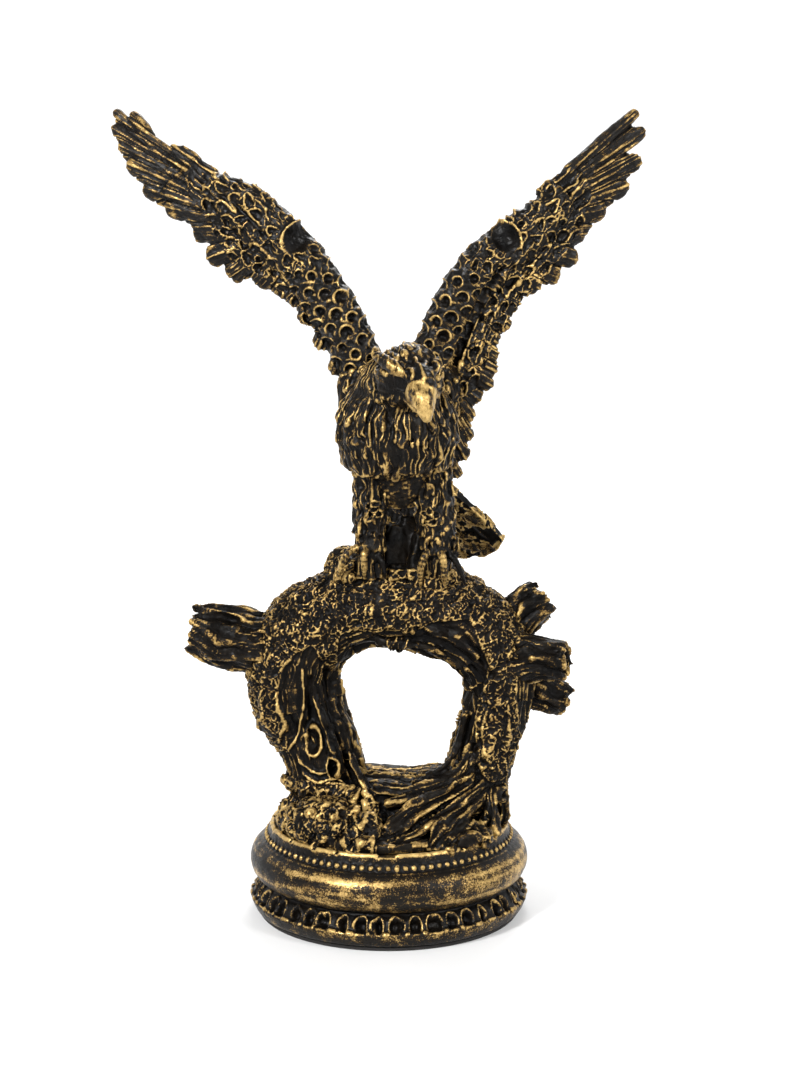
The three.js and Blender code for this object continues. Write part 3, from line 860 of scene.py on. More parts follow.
TRUNK = [
    (-21.5, 0, 38, 13.5, 15), (-24, 0, 52, 14, 15), (-28, 0, 65, 15, 14), (-32.5, 0, 79, 16.5, 14),
    (-33, 0, 91, 16.5, 14.5), (-26.5, 0, 103.5, 16, 15), (-11, 0, 110.5, 14.5, 15), (4, 0, 112, 15, 15),
    (18, 0, 109, 16, 15), (30.5, 0, 101.5, 15, 15), (39, 0, 89, 13, 14), (38.5, 0, 75, 12, 13.5),
    (34.5, 0, 62, 11.5, 13.5), (31.5, 0, 49, 11.5, 15), (29, 0, 36, 12, 16),
]
SADDLE = [
    (-22, 2, 40, 10, 20), (-8, 1, 41.5, 9.5, 22), (6, 0, 41, 9, 22), (20, 0, 42.5, 9.5, 20),
    (32, 0, 44, 9, 18),
]
ROOTS = [
    [(35, -6, 56, 3.4, 3.6), (24, -17, 49, 3, 3.2), (9, -25, 42.5, 2.4, 2.8), (-3, -31, 35, 1.8, 2)],
    [(36, -8, 51, 3.2, 3.4), (26, -21, 45, 2.5, 2.8), (13, -28, 38.5, 2.2, 2.4), (3, -34, 33.5, 1.6, 1.8)],
    [(33, -9, 60, 2.4, 2.6), (25, -15, 53, 2.2, 2.4), (14, -19, 48, 2, 2.2), (-1, -22, 44.5, 1.6, 1.8)],
    [(34, -10, 46, 2.4, 2.6), (26, -24, 41, 2, 2.2), (19, -31, 37.5, 1.9, 2), (16, -36, 33, 1.0, 1.1)],
    [(35, -6, 54, 2.2, 2.4), (36, -15, 45, 1.9, 2.1), (37.5, -18, 38, 1.6, 1.8), (38, -19, 33, 1.4, 1.6)],
    [(38, -4, 54, 2.2, 2.4), (40, -10, 45, 1.7, 1.9), (41, -11, 38, 1.6, 1.8), (40.5, -12, 33, 1.4, 1.6)],
    [(-14, -10, 60, 1.8, 2), (-9, -14, 51, 1.8, 2), (-4, -18, 44, 1.6, 1.8), (4, -23, 38, 1.3, 1.5)],
    [(30, -12, 62, 2.2, 2.4), (24, -15, 54, 2, 2.2), (10, -17.5, 49, 1.8, 2), (-5, -17, 49, 1.4, 1.6)],
    [(32, 8, 54, 5, 6), (22, 22, 41, 4, 4.5), (12, 32, 34, 3, 3)],
    [(-24, 8, 52, 5, 6), (-22, 24, 40, 4, 4.5), (-16, 32, 34, 3, 3)],
]
STRANDS = [
    [
        (-29, -11, 92, 1.2, 1.6), (-26, -12.5, 80, 1.4, 1.8), (-21, -13.5, 68, 1.5, 1.8),
        (-17, -14, 54, 1.4, 1.6),
    ],
    [
        (-8, -10, 102.5, 1.4, 1.6), (2, -11.5, 100, 1.5, 1.8), (14, -12.5, 98.5, 1.5, 1.8),
        (26, -11, 92, 1.4, 1.8), (31, -9, 82, 1.2, 1.4),
    ],
    [(10, -12, 105, 1.4, 1.6), (20, -13, 102, 1.5, 1.8), (29, -12, 96, 1.4, 1.6), (34, -11, 88, 1.2, 1.4)],
    [(27.5, -10, 76, 1.2, 1.5), (25, -11, 64, 1.5, 1.8), (19, -13, 55, 1.4, 1.7), (9, -15, 50.5, 1.2, 1.5)],
]
DRAPE = [
    (-54, 86), (-51, 75), (-48, 67.5), (-39, 59.5), (-35.5, 62.5), (-35.5, 72), (-38, 77), (-39.5, 84),
    (-38, 91), (-33, 97), (-26.5, 101), (-23.5, 94.5), (-21, 92), (-18.8, 93.5), (-18.3, 100), (-17, 104.5),
    (-11, 106), (-2.5, 105.5), (0, 100), (3, 96.5), (6.5, 100), (9.5, 105.5), (14, 108.5), (28.5, 109.5),
    (31.5, 102), (35, 94), (34.5, 86), (32, 79), (31, 66), (31.5, 56), (35, 51), (39, 50.5), (43.5, 56),
    (46, 66), (44.5, 77), (44.5, 88), (47.5, 96), (58, 100), (58, 140), (-54, 140),
]
MOUND_MOSS = [(-42, 30), (-42, 50), (-22, 51), (-6, 47), (-3, 38), (-8, 30)]
# Each knot: its centre, its half width and half height, and whether it has a nub in the middle.
KNOTS = [
    ((-26.5, 65.5), (2.7, 5.2), True), ((-19.8, 56.0), (2.3, 3.9), False), ((-9.5, 44.0), (2.4, 4.2), False),
]
# Each vein: its path in x and z, its width, and how far it stands proud or is sunk.
VEINS = [
    ([(-30.5, 93), (-30, 80), (-32, 68), (-36, 60)], 0.5, 1.1),
    ([(-27.5, 84), (-24, 74), (-21.5, 66), (-18.5, 60)], 0.5, 1.1),
    ([(-33, 62), (-30, 57), (-24, 54), (-17, 58)], 0.6, 1.2),
    ([(-31, 55), (-26, 51), (-19, 52), (-13, 46)], 0.5, 1.1), ([(-15, 60), (-9, 50), (-4, 44)], 0.5, 1.1),
    ([(-18, 94), (-17, 80), (-14, 66), (-8, 54)], 0.5, 0.9),
    ([(-28, 90), (-27, 76), (-29.5, 62)], 1.1, -1.9),
    ([(-22, 92), (-20.5, 76), (-17.5, 64), (-14, 54)], 1.1, -1.9),
    ([(0, 101), (12, 101.5), (22, 97), (30, 89)], 0.5, 0.9), ([(6, 98.5), (16, 97), (27, 90)], 0.8, -1.2),
    ([(-33, 97), (-37.5, 90), (-39, 80), (-36.5, 71), (-39, 62)], 0.6, 1.0),
    ([(-40, 98), (-43.5, 86), (-43.5, 75), (-46, 66)], 0.5, 0.7),
    ([(36, 80), (33.5, 70), (34.5, 60), (37, 54)], 0.5, 0.8),
    ([(41, 82), (42, 70), (40, 60), (41, 50)], 0.5, 0.8),
]

# The rock that stands up between the bird's feet.
PERCH_ROCKS = [
    [(0.5, -4, 124, 6.5, 5), (1.5, -4, 134, 6.5, 4.6), (3, -3, 141, 4.5, 4)],
    [(6.5, -3, 124, 6, 5), (6, -3, 137, 5, 4), (6.5, -2, 144, 3.5, 3)],
    [(8.6, -10, 123, 3.4, 2.6), (10.0, -8.5, 131, 3.2, 2.4), (11.2, -6.5, 138.5, 2.2, 2.0)],
    [(3.5, -10.5, 123, 3.6, 2.4), (3.2, -9.5, 128, 2.8, 2)],
]
GROUND_ROCKS = [
    ((27, -31, 34), (4.5, 3.5, 3.6)), ((33, -27, 34.5), (3.5, 3, 4)), ((21, -35, 33), (3.2, 2.4, 2.2)),
    ((-34, -14, 36), (4, 5, 5)), ((-12, -33, 34), (5, 4, 4)), ((-3, -36, 33.5), (3, 2.4, 2.4)),
]


def drawn_of(node, groups):
    return [fitted(node, stations) for stations in groups]


def drawn_limbs(node, groups, **options):
    return [limb(stations, **options) for stations in drawn_of(node, groups)]


def on_limbs(points, node, groups, start, end):
    """1 on the drawn limbs and 0 away from them, fading between two distances over their radius."""
    return ease(flow_of(points, drawn_of(node, groups))[3], start, end)


def moss_lumps(surface, node, outline, spacing, seed):
    """Small flattened lumps over the front and back wherever the outline covers."""
    (low_x, _, low_z), (high_x, _, high_z) = DRAWN[node]
    edge = flat(node, outline)
    choose = np.random.default_rng(seed)
    shells = []
    for x in np.arange(low_x, high_x, spacing):
        for z in np.arange(low_z, high_z, spacing):
            aside, up = (choose.uniform(-0.5, 0.5) * spacing for _ in range(2))
            at = fitted(node, (x + aside, 0, z + up))
            if not inside(at[None], edge)[0]:
                continue
            for back in (-1, 1):
                met = touch(surface, (at[0], back * OUTSIDE, at[2]), (0, -back, 0))
                if met is None:
                    continue
                size = choose.uniform(0.55, 0.9) * spacing
                lumpiness = int(choose.integers(1000))
                shells.append(pebble(met[0], (size, size * 0.75, size), seed=lumpiness, rough=0.2))
    return shells


def tree_shells(node):
    trunk = cad_shell(node)
    shells = [trunk]
    shells += drawn_limbs(node, ROOTS, sides=9, steps=14, depth_axis=(0, 0, 1), square=0.9)
    shells += drawn_limbs(node, STRANDS, sides=9, steps=16)
    shells += drawn_limbs(node, PERCH_ROCKS, sides=5, steps=2)
    shells += moss_lumps(surface_of([trunk]), node, MOUND_MOSS, 3.2, 12)
    for index, (centre, size) in enumerate(GROUND_ROCKS):
        shells.append(pebble(fitted(node, centre), size, seed=40 + index, rough=0.35))
    return shells


def tree_marks(place, node, ahead):
    """The veins and knots on the front: how far they stand proud, and where their gold lines run."""
    amount = np.zeros(len(place))
    lines = np.zeros(len(place))
    for path, width, height in VEINS:
        line = ahead * vein(place, flat(node, path), width, height)
        amount += line
        lines = np.maximum(lines, line)
    for (x, z), (half_width, half_height), pupil in KNOTS:
        centre = fitted(node, (x, 0, z))
        away = np.hypot((place[:, 0] - centre[0]) / half_width, (place[:, 2] - centre[2]) / half_height)
        ring = ahead * peak(away - 1, 0.18)
        amount += 1.5 * ring - 2.6 * ahead * peak(away, 0.72, 4)
        if pupil:
            amount += ahead * 1.4 * peak(away, 0.28)
        lines = np.maximum(lines, 0.8 * ring)
    return amount, lines


def make_tree(voxel, moss_height, bark_height):
    node = "tree_trunk"
    cast = Cast(tree_shells(node), voxel, 4)
    place = cast.place
    facing = cast.normals()
    run, around, _, _, _ = flow_of(place, drawn_of(node, [TRUNK, SADDLE, *ROOTS[:8]]))
    mound = inside(place, flat(node, MOUND_MOSS)) & (place[:, 1] < -4)
    under_arch = (place[:, 2] > 101) & (facing[:, 2] < -0.4)
    moss = inside(place, flat(node, DRAPE)) & ~under_arch
    rocks = on_limbs(place, node, PERCH_ROCKS, 1.5, 1.2) * ease(place[:, 2], 125.5, 127.5)
    moss = cast.blurred((moss | mound) * (1 - rocks), 4)
    bark = (1 - moss) * (1 - rocks)
    bent = around + 2.6 * cloud(place, 13, 1) + 0.8 * cloud(place, 5, 11)
    bend = columns(bent, run + 4 * cloud(place, 12, 2), 0.0)
    amount = bark * bark_height * (ridged(bend / (3.2, 17, 1), 3) + 0.5 * ridged(bend / (1.4, 9, 1), 4))
    amount += rocks * 0.25 * ridged(place / (1.6, 1.6, 5), 19)
    warped = place + 1.3 * cloud(place, 2.6, 5)[:, None] + 1.3 * cloud(place, 2.6, 15)[:, None] * (0, 0, 1)
    lace = network(warped, 2.1, 6, 0.2) * ease(cloud(place, 3.4, 17), -0.9, -0.3)
    lumps = 0.7 * cloud(place, 3.6, 12) + 0.5 * cloud(place, 2.0, 13)
    amount += moss * (1.1 * ease(moss, 0.2, 0.7) + moss_height * (lace - 0.3) + lumps)
    border = peak(moss - 0.5, 0.2) * (facing[:, 1] < 0.3) * (1 - rocks)
    marks, lines = tree_marks(place, node, ease(facing[:, 1], 0.1, -0.4))
    lines = np.maximum(lines, 0.9 * border)
    cast.push(amount + 0.8 * border + marks)
    cast.push(0.2 * cloud(place, 1.5, 7) + (0.35 - 0.2 * rocks) * cloud(place, 5.0, 8))
    shaded = 0.14 * rocks + 0.3 * on_limbs(place, node, [*STRANDS, ROOTS[6]], 1.8, 1.2)
    cast.rub(0.16, extra=0.08 * bark + 0.02 * moss + 0.36 * lines - shaded)
    cast.keep("moss", moss)
    cast.keep("grain", columns(around, run, 0.0))
    cast.piece("tree_casting", node, look=LOOKS["tree"])


FIBRES = 12
# Each broken branch, from where it leaves the trunk to its end.
STUBS = {
    "left_branch_stub": [
        (-42, 0, 98, 11, 10.5), (-52, 0, 99, 11.4, 10.3), (-62, 0, 101, 10.6, 9.2), (-69.5, 0, 103, 8.4, 7),
    ],
    "right_upper_stub": [(40, 4, 100, 8, 8), (48, 6, 107.5, 8.4, 8), (55, 7, 113, 7.4, 6.8)],
    "right_middle_stub": [(44, -5, 92.5, 8, 8), (52, -7.5, 94, 8.6, 8), (62, -10, 93.5, 6.8, 6.4)],
    "right_lower_stub": [(46, 5, 84, 7.5, 7), (54, 6, 79.5, 7.4, 6.8), (63, 6.5, 75.5, 5.6, 5.4)],
}


def stub_fibres(rows, line, choose, jagged):
    """Lengthwise splinters just under a branch's surface, each ending at its own length."""
    wide = unit(np.cross(line, (0, 1, 0)))
    deep = np.cross(wide, line)
    fibres = []
    for index in range(FIBRES):
        turn = math.tau * index / FIBRES + choose.uniform(-0.2, 0.2)
        out = wide * math.cos(turn) + deep * math.sin(turn)
        thick = choose.uniform(1.3, 2.3)
        fibre = []
        for at in rows[[0, 7, 14, 20]]:
            reach = math.hypot(at[3] * math.cos(turn), at[4] * math.sin(turn)) - 0.85 * thick
            fibre.append([*(at[:3] + out * reach), thick, thick])
        fibre[-1][:3] = np.array(fibre[-1][:3]) + line * choose.uniform(-0.5, 1.0) * jagged
        fibre[-1][3] = fibre[-1][4] = 0.8 * thick
        fibres.append(limb(fibre, sides=6, steps=10, square=0.8))
    return fibres


def make_stub(node, voxel, jagged):
    """A broken branch, split into fibres at its hollow end."""
    stations = fitted(node, STUBS[node])
    rows = curve(stations, 21)
    line = unit(rows[-1, :3] - rows[0, :3])
    fibres = stub_fibres(rows, line, np.random.default_rng(len(node)), jagged)
    cast = Cast([limb(stations, sides=14, steps=12), *fibres], voxel, 3)
    place = cast.place
    facing = cast.normals()
    run, around, _, _, _ = flow_of(place, [stations])
    bend = columns(around + 1.8 * cloud(place, 6, 1), run, 0.0)
    tip = ease(facing @ line, 0.5, 0.85) * ease(run, run.max() - 7, run.max() - 2)
    off = place - rows[-1, :3]
    from_axis = np.linalg.norm(off - (off @ line)[:, None] * line, axis=1)
    hollow = tip * ease(from_axis, 0.85 * rows[-1, 3], 0.5 * rows[-1, 3])
    cast.push(0.7 * ridged(bend / (3.6, 12, 1), 9) + 0.35 * ridged(bend / (1.5, 8, 1), 10) - 2.6 * hollow)
    cast.push(0.3 * cloud(place, 1.8, 3) + 0.7 * cloud(place, 5, 4))
    cast.rub(0.16, extra=0.04 * tip)
    cast.keep("moss", np.zeros(cast.count))
    cast.keep("grain", columns(around, run, 0.0))
    cast.piece(node + "_casting", node, look=LOOKS["tree"])


# ---- Bird ----


def body_plumage(surface, choose):
    """Drop feathers down the breast and back, longer towards the legs, and a skirt of broad ones below."""
    node = "eagle_body"
    shells = []
    rows, count = 11, 30
    for row in range(rows):
        share = row / (rows - 1)
        height = 200 - 34 * share
        for index in range(count):
            out = outward(staggered(index, row, count) + choose.uniform(-0.09, 0.09))
            axis = fitted(node, (3, -8, height + choose.uniform(-1.4, 1.4)))
            if out[1] < -0.6 and height > 184:
                continue
            length = choose.uniform(5.5, 9.5) + 3.0 * share
            lean = falling(choose, 0.25)
            half_width = choose.uniform(0.8, 1.5) + 0.4 * share
            place = axis + out * OUTSIDE
            shells += plume(surface, place, -out, lean, length, half_width, 0.7, 0.7 + 0.5 * share)
    for index in range(20):
        out = outward(math.radians(-112 + 224 * index / 19 + choose.uniform(-3, 3)))
        axis = fitted(node, (3.5, -8, 167.0 + choose.uniform(-1.5, 1.5)))
        lean = falling(choose, 0.3)
        half_width = choose.uniform(1.3, 2.2)
        shells += plume(surface, axis + out * OUTSIDE, -out, lean, 10, half_width, 1.0, 2.0, roll=0.35)
    return shells


HEAD = {
    "left brow": [
        (-4.0, -31, 203.4, 1.4, 1.4), (-1, -34.5, 201.4, 2.3, 2.0), (3, -37.2, 199, 2.3, 2.0),
        (6.6, -39.6, 196.4, 1.2, 1.1),
    ],
    "right brow": [
        (17, -29.5, 202.6, 0.9, 0.9), (16.4, -33.5, 200.2, 1.6, 1.6), (14.6, -37.2, 197.4, 1.0, 1.0),
    ],
    "upper bill": [
        (9.8, -33, 190, 3.6, 4.0), (10.4, -39.5, 191.2, 4.7, 4.6), (11.3, -43.4, 189.6, 4.6, 4.0),
        (12.5, -45.2, 185.8, 3.3, 2.9), (13.2, -45, 182.3, 1.4, 1.3),
    ],
    "lower bill": [(7.6, -34, 189, 3.4, 2.2), (8.8, -39, 187.2, 2.6, 1.7), (10, -41.6, 186, 1.4, 1.2)],
}


HEAD_DOMES = {
    "bridge": ((10.6, -41, 192.2), (4.7, 4.2, 4.0), 0.0),
    "right eye": ((16.4, -33.8, 195.6), (1.3, 1.4, 1.3), 0.0),
    "knob": ((-4.2, -26.5, 203.6), (1.7, 1.7, 1.7), 0.2),
}


BELLY = [(4, -6, 163, 13.5, 12), (4.5, -4, 155, 12, 10.5), (5, -3, 149, 8, 8)]


BILL_LINE = [(10.4, -40, 191, 5, 5), (11.4, -43.5, 189.4, 5, 4.6), (12.9, -45, 182.5, 3, 3)]


def head_shells():
    """Brows, the hooked bill and its lower jaw, and the knob behind the brow."""
    node = "eagle_body"
    shells = drawn_limbs(node, HEAD.values(), sides=12, steps=14, depth_axis=(1, 0, 0))
    for centre, size, rough in HEAD_DOMES.values():
        shells.append(pebble(fitted(node, centre), size, rough=rough))
    return shells


def crown_plumage(surface, choose):
    """Small pointed feathers that run back from the bill over the head."""
    node = "eagle_body"
    centre = fitted(node, (7, -24, 195))
    forward = unit(np.array((0.35, -0.85, -0.25)))
    side = unit(np.cross(forward, (0, 0, 1)))
    up = np.cross(side, forward)
    shells = []
    for ring in range(5):
        lean = math.radians(46 + 15 * ring)
        count = 14 + 4 * ring
        for index in range(count):
            turn = staggered(index, ring, count) + choose.uniform(-0.08, 0.08)
            out = forward * math.cos(lean) + (side * math.cos(turn) + up * math.sin(turn)) * math.sin(lean)
            if out[0] < -0.1 and ring < 2 and out[2] < 0.35:
                continue
            shells += plume(surface, centre + out * 40, -out, -forward, 5.0, 0.9, 0.6, 0.7)
    return shells


GAPE = [(-1, 192.2), (4, 191.4), (8.5, 190.2)]


def make_body(voxel, seed):
    node = "eagle_body"
    trunk = cad_shell(node)
    surface = surface_of([trunk])
    choose = np.random.default_rng(seed)
    shells = [trunk, limb(fitted(node, BELLY), sides=14, steps=8)]
    shells += body_plumage(surface, choose)
    shells += crown_plumage(surface, choose)
    shells += tail_coverts()
    shells += head_shells()
    cast = Cast(shells, voxel, 3)
    place = cast.place
    facing = cast.normals()
    near_bill, _, _ = trace(place, fitted(node, BILL_LINE))
    low, high, vent_low, vent_high = fitted(node, [(0, 0, z) for z in (195.6, 197.4, 160.5, 163.5)])[:, 2]
    below_brow = ease(place[:, 2], high, low)
    bill = ease(near_bill, 1.3, 1.05) * below_brow
    axis = fitted(node, (3, -8, 0))
    turn = np.arctan2(place[:, 0] - axis[0], -(place[:, 1] - axis[1]))
    drop = columns(turn * 17, -place[:, 2], 0.0)
    wavy = drop + 1.6 * cloud(place, 4, 1)[:, None] * (1, 0, 0)
    streak = ridged(wavy / (1.9, 8, 1), 2) + 0.4 * ridged(wavy / (0.9, 5, 1), 4)
    socket = fitted(node, (2.2, -36, 192.6))
    apart = np.linalg.norm((place - socket) / (4.4, 5.0, 3.6), axis=1)
    orbit = peak(apart, 1.0, 4) * (1 - bill)
    amount = (1 - bill) * (1 - 0.85 * orbit) * (0.40 * streak + 0.15 * cloud(place, 1.4, 3))
    ahead = ease(facing[:, 1], 0.2, -0.3) * (1 - bill)
    gape = ahead * vein(place, flat(node, GAPE), 0.5, 0.6)
    amount += gape - 0.9 * orbit
    vent = ease(place[:, 2], vent_high, vent_low)
    cast.push(amount * (1 - vent) + vent * (0.25 * cloud(place, 1.2, 14) + 0.3 * cloud(place, 3.0, 15)))
    brow = peak(apart, 1.3) * ease(place[:, 2], socket[2] + 3, socket[2] + 5)
    mottle = bill * (0.5 + 0.38 * cloud(place, 1.7, 21)) + 0.3 * peak(near_bill - 1.0, 0.1) * below_brow
    stipple = vent * (0.2 + 0.25 * cloud(place, 1.0, 22))
    cast.rub(0.18, extra=mottle + 0.3 * brow + 0.4 * gape + stipple - 0.8 * orbit)
    cast.keep("moss", 0.35 * (1 - bill) * (1 - orbit))
    cast.keep("grain", drop)
    cast.piece("eagle_body_casting", node, look=LOOKS["bird"])


def tail_coverts():
    """Broad feathers from the rump that lie over the root of the tail."""
    node = "eagle_body"
    start = np.array(TAIL_ROOT, dtype=float)
    along = np.array((0.19, 0.46, -0.87))
    out = np.array((0.33, 0.81, 0.5))
    side = unit(np.cross(along, out))
    shells = []
    for row, (count, spread, back, reach) in enumerate(((4, 7.0, 12.0, 10.0), (5, 10.0, 8.0, 17.0))):
        for index in range(count):
            share = 2 * index / (count - 1) - 1
            root = start + side * spread * 0.5 * share - along * back + out * (1.5 - row)
            tip = start + side * spread * share + along * (reach - 3 * share * share)
            tip = tip + out * (5.0 - 1.2 * row)
            root, tip = fitted(node, [root, tip])
            shells.append(leaf(root, tip, 3.0, 1.4, face=out, sides=10, steps=10))
    return shells


LEGS = {
    "left_leg": {
        "bone": [
            (-3, -6, 166, 8, 8), (-5, -6.5, 155, 6.6, 7), (-6, -7, 147, 5.6, 6.2), (-6.8, -8, 139, 4.8, 5.4),
            (-6.5, -8, 131, 5, 5.5), (-6.5, -7, 124, 6, 6),
        ],
        "toes": [
            [
                (-8.5, -12, 134.5, 1.6), (-12.5, -15, 134.3, 1.4), (-15.8, -15.4, 130, 1.3),
                (-17.3, -12.5, 123.5, 0.6),
            ],
            [
                (-7, -12.5, 134, 1.5), (-8.2, -15.6, 133, 1.4), (-8.4, -15.8, 129, 1.2),
                (-8.2, -13, 123.5, 0.6),
            ],
            [
                (-5, -11, 132, 1.4), (-2.5, -13.5, 130.5, 1.2), (-1.5, -14, 127, 0.9),
                (-1.2, -12.4, 123.5, 0.5),
            ],
        ],
        "curl": (-4.6, 148.4),
        "loops": [],
    },
    "right_leg": {
        "bone": [
            (12, -6, 166, 8.5, 8), (15, -6.5, 155, 6.8, 7), (16.2, -7, 147, 6.2, 6.4),
            (17.2, -8, 139, 5.6, 6), (17, -8, 131, 5.4, 6), (17, -7, 124, 6, 6),
        ],
        "toes": [
            [
                (15.5, -12.5, 134, 1.6), (13, -16, 132.6, 1.4), (11.2, -16.2, 127.5, 1.3),
                (11.3, -13.4, 121, 0.6),
            ],
            [
                (17.5, -13, 133.5, 1.6), (18.8, -16.2, 132, 1.4), (19.5, -16.2, 126.5, 1.3),
                (19.6, -13.4, 121, 0.6),
            ],
            [(20, -11, 133, 1.5), (23, -14, 130.5, 1.3), (25.3, -14.4, 126, 1.0), (27, -12.4, 121, 0.5)],
        ],
        "curl": (14.4, 145.6),
        "loops": [((15.4, -14.9, 135.6), 2.5, 3.0), ((22.6, -12.4, 135.2), 1.7, 3.4)],
    },
}


def curl_relief(place, centre, petals=5, spread=2.2, radius=1.1):
    """Small ringed petals round a middle."""
    relief = np.zeros(len(place))
    x, z = place[:, 0] + 0.5 * cloud(place, 1.8, 31), place[:, 2] + 0.5 * cloud(place, 1.8, 32)
    spots = [centre]
    for index in range(petals):
        turn = math.tau * index / petals + 0.3
        spots.append((centre[0] + spread * math.cos(turn), centre[1] + spread * math.sin(turn)))
    for spot in spots:
        away = np.hypot(x - spot[0], z - spot[1])
        relief = relief + 0.5 * peak(away - radius, 0.34) - 0.9 * peak(away, 0.7)
    return relief


def leg_shells(node, bone, toes, choose):
    """The feathered shank, the cuff at its ankle, the loops in front of the right one, and the toes."""
    shank = limb(bone, sides=14, steps=12)
    surface = surface_of([shank])
    shells = [shank]
    line = curve(bone, 30)
    for row in range(6):
        at = line[np.argmin(np.abs(line[:, 2] - (162 - 5.0 * row))), :3]
        for index in range(12):
            out = outward(staggered(index, row, 12) + choose.uniform(-0.2, 0.2))
            lean = falling(choose, 0.3)
            length = choose.uniform(5.0, 8.5)
            shells += plume(surface, at + out * 30, -out, lean, length, choose.uniform(0.8, 1.5), 0.7, 0.8)
    ankle = bone[3, :3] + (0, 0, 0.4)
    shells.append(hoop(ankle, (0, -6.2, 0), (5.9, 0, 0), 0.8, 0.9, sides=7, steps=30, depth_axis=(0, 0, 1)))
    for centre, half_width, half_height in LEGS[node]["loops"]:
        at = fitted(node, centre)
        shells.append(hoop(at, (half_width, 0, 0), (0, 0, half_height), 0.7, 1.0, sides=6, steps=20))
    return shells + [limb(toe, sides=9, steps=12, depth_axis=(1, 0, 0)) for toe in toes]


def make_leg(node, voxel, seed):
    shape = LEGS[node]
    toes = [fitted(node, [(*at, size, size) for *at, size in toe]) for toe in shape["toes"]]
    shells = leg_shells(node, fitted(node, shape["bone"]), toes, np.random.default_rng(seed))
    cast = Cast(shells, voxel, 2)
    place = cast.place
    facing = cast.normals()
    run, _, owner, near, _ = flow_of(place, toes)
    toe = ease(near, 1.8, 1.3) * ease(place[:, 1], -12, -13.5)
    gilded = toe * np.where(owner < 2, 0.22, -0.5)
    ribs = np.sin(run * math.tau / 1.5 + 1.5 * cloud(place, 2, 5))
    drop = columns(place[:, 0], -place[:, 2], 0.0)
    wavy = drop + 1.4 * cloud(place, 4, 1)[:, None] * (1, 0, 0)
    streak = ridged(wavy / (2.0, 7, 1), 2) + 0.5 * ridged(wavy / (1.0, 4, 1), 4)
    curl = curl_relief(place, flat(node, [shape["curl"]])[0]) * ease(facing[:, 1], 0.1, -0.3)
    cast.push(toe * 0.06 * ribs + (1 - toe) * (0.42 * streak + curl + 0.15 * cloud(place, 1.4, 3)))
    cast.rub(0.19, extra=gilded)
    cast.keep("moss", 0.4 * (1 - toe))
    cast.keep("grain", drop)
    cast.piece(node + "_casting", node, look=LOOKS["bird"])


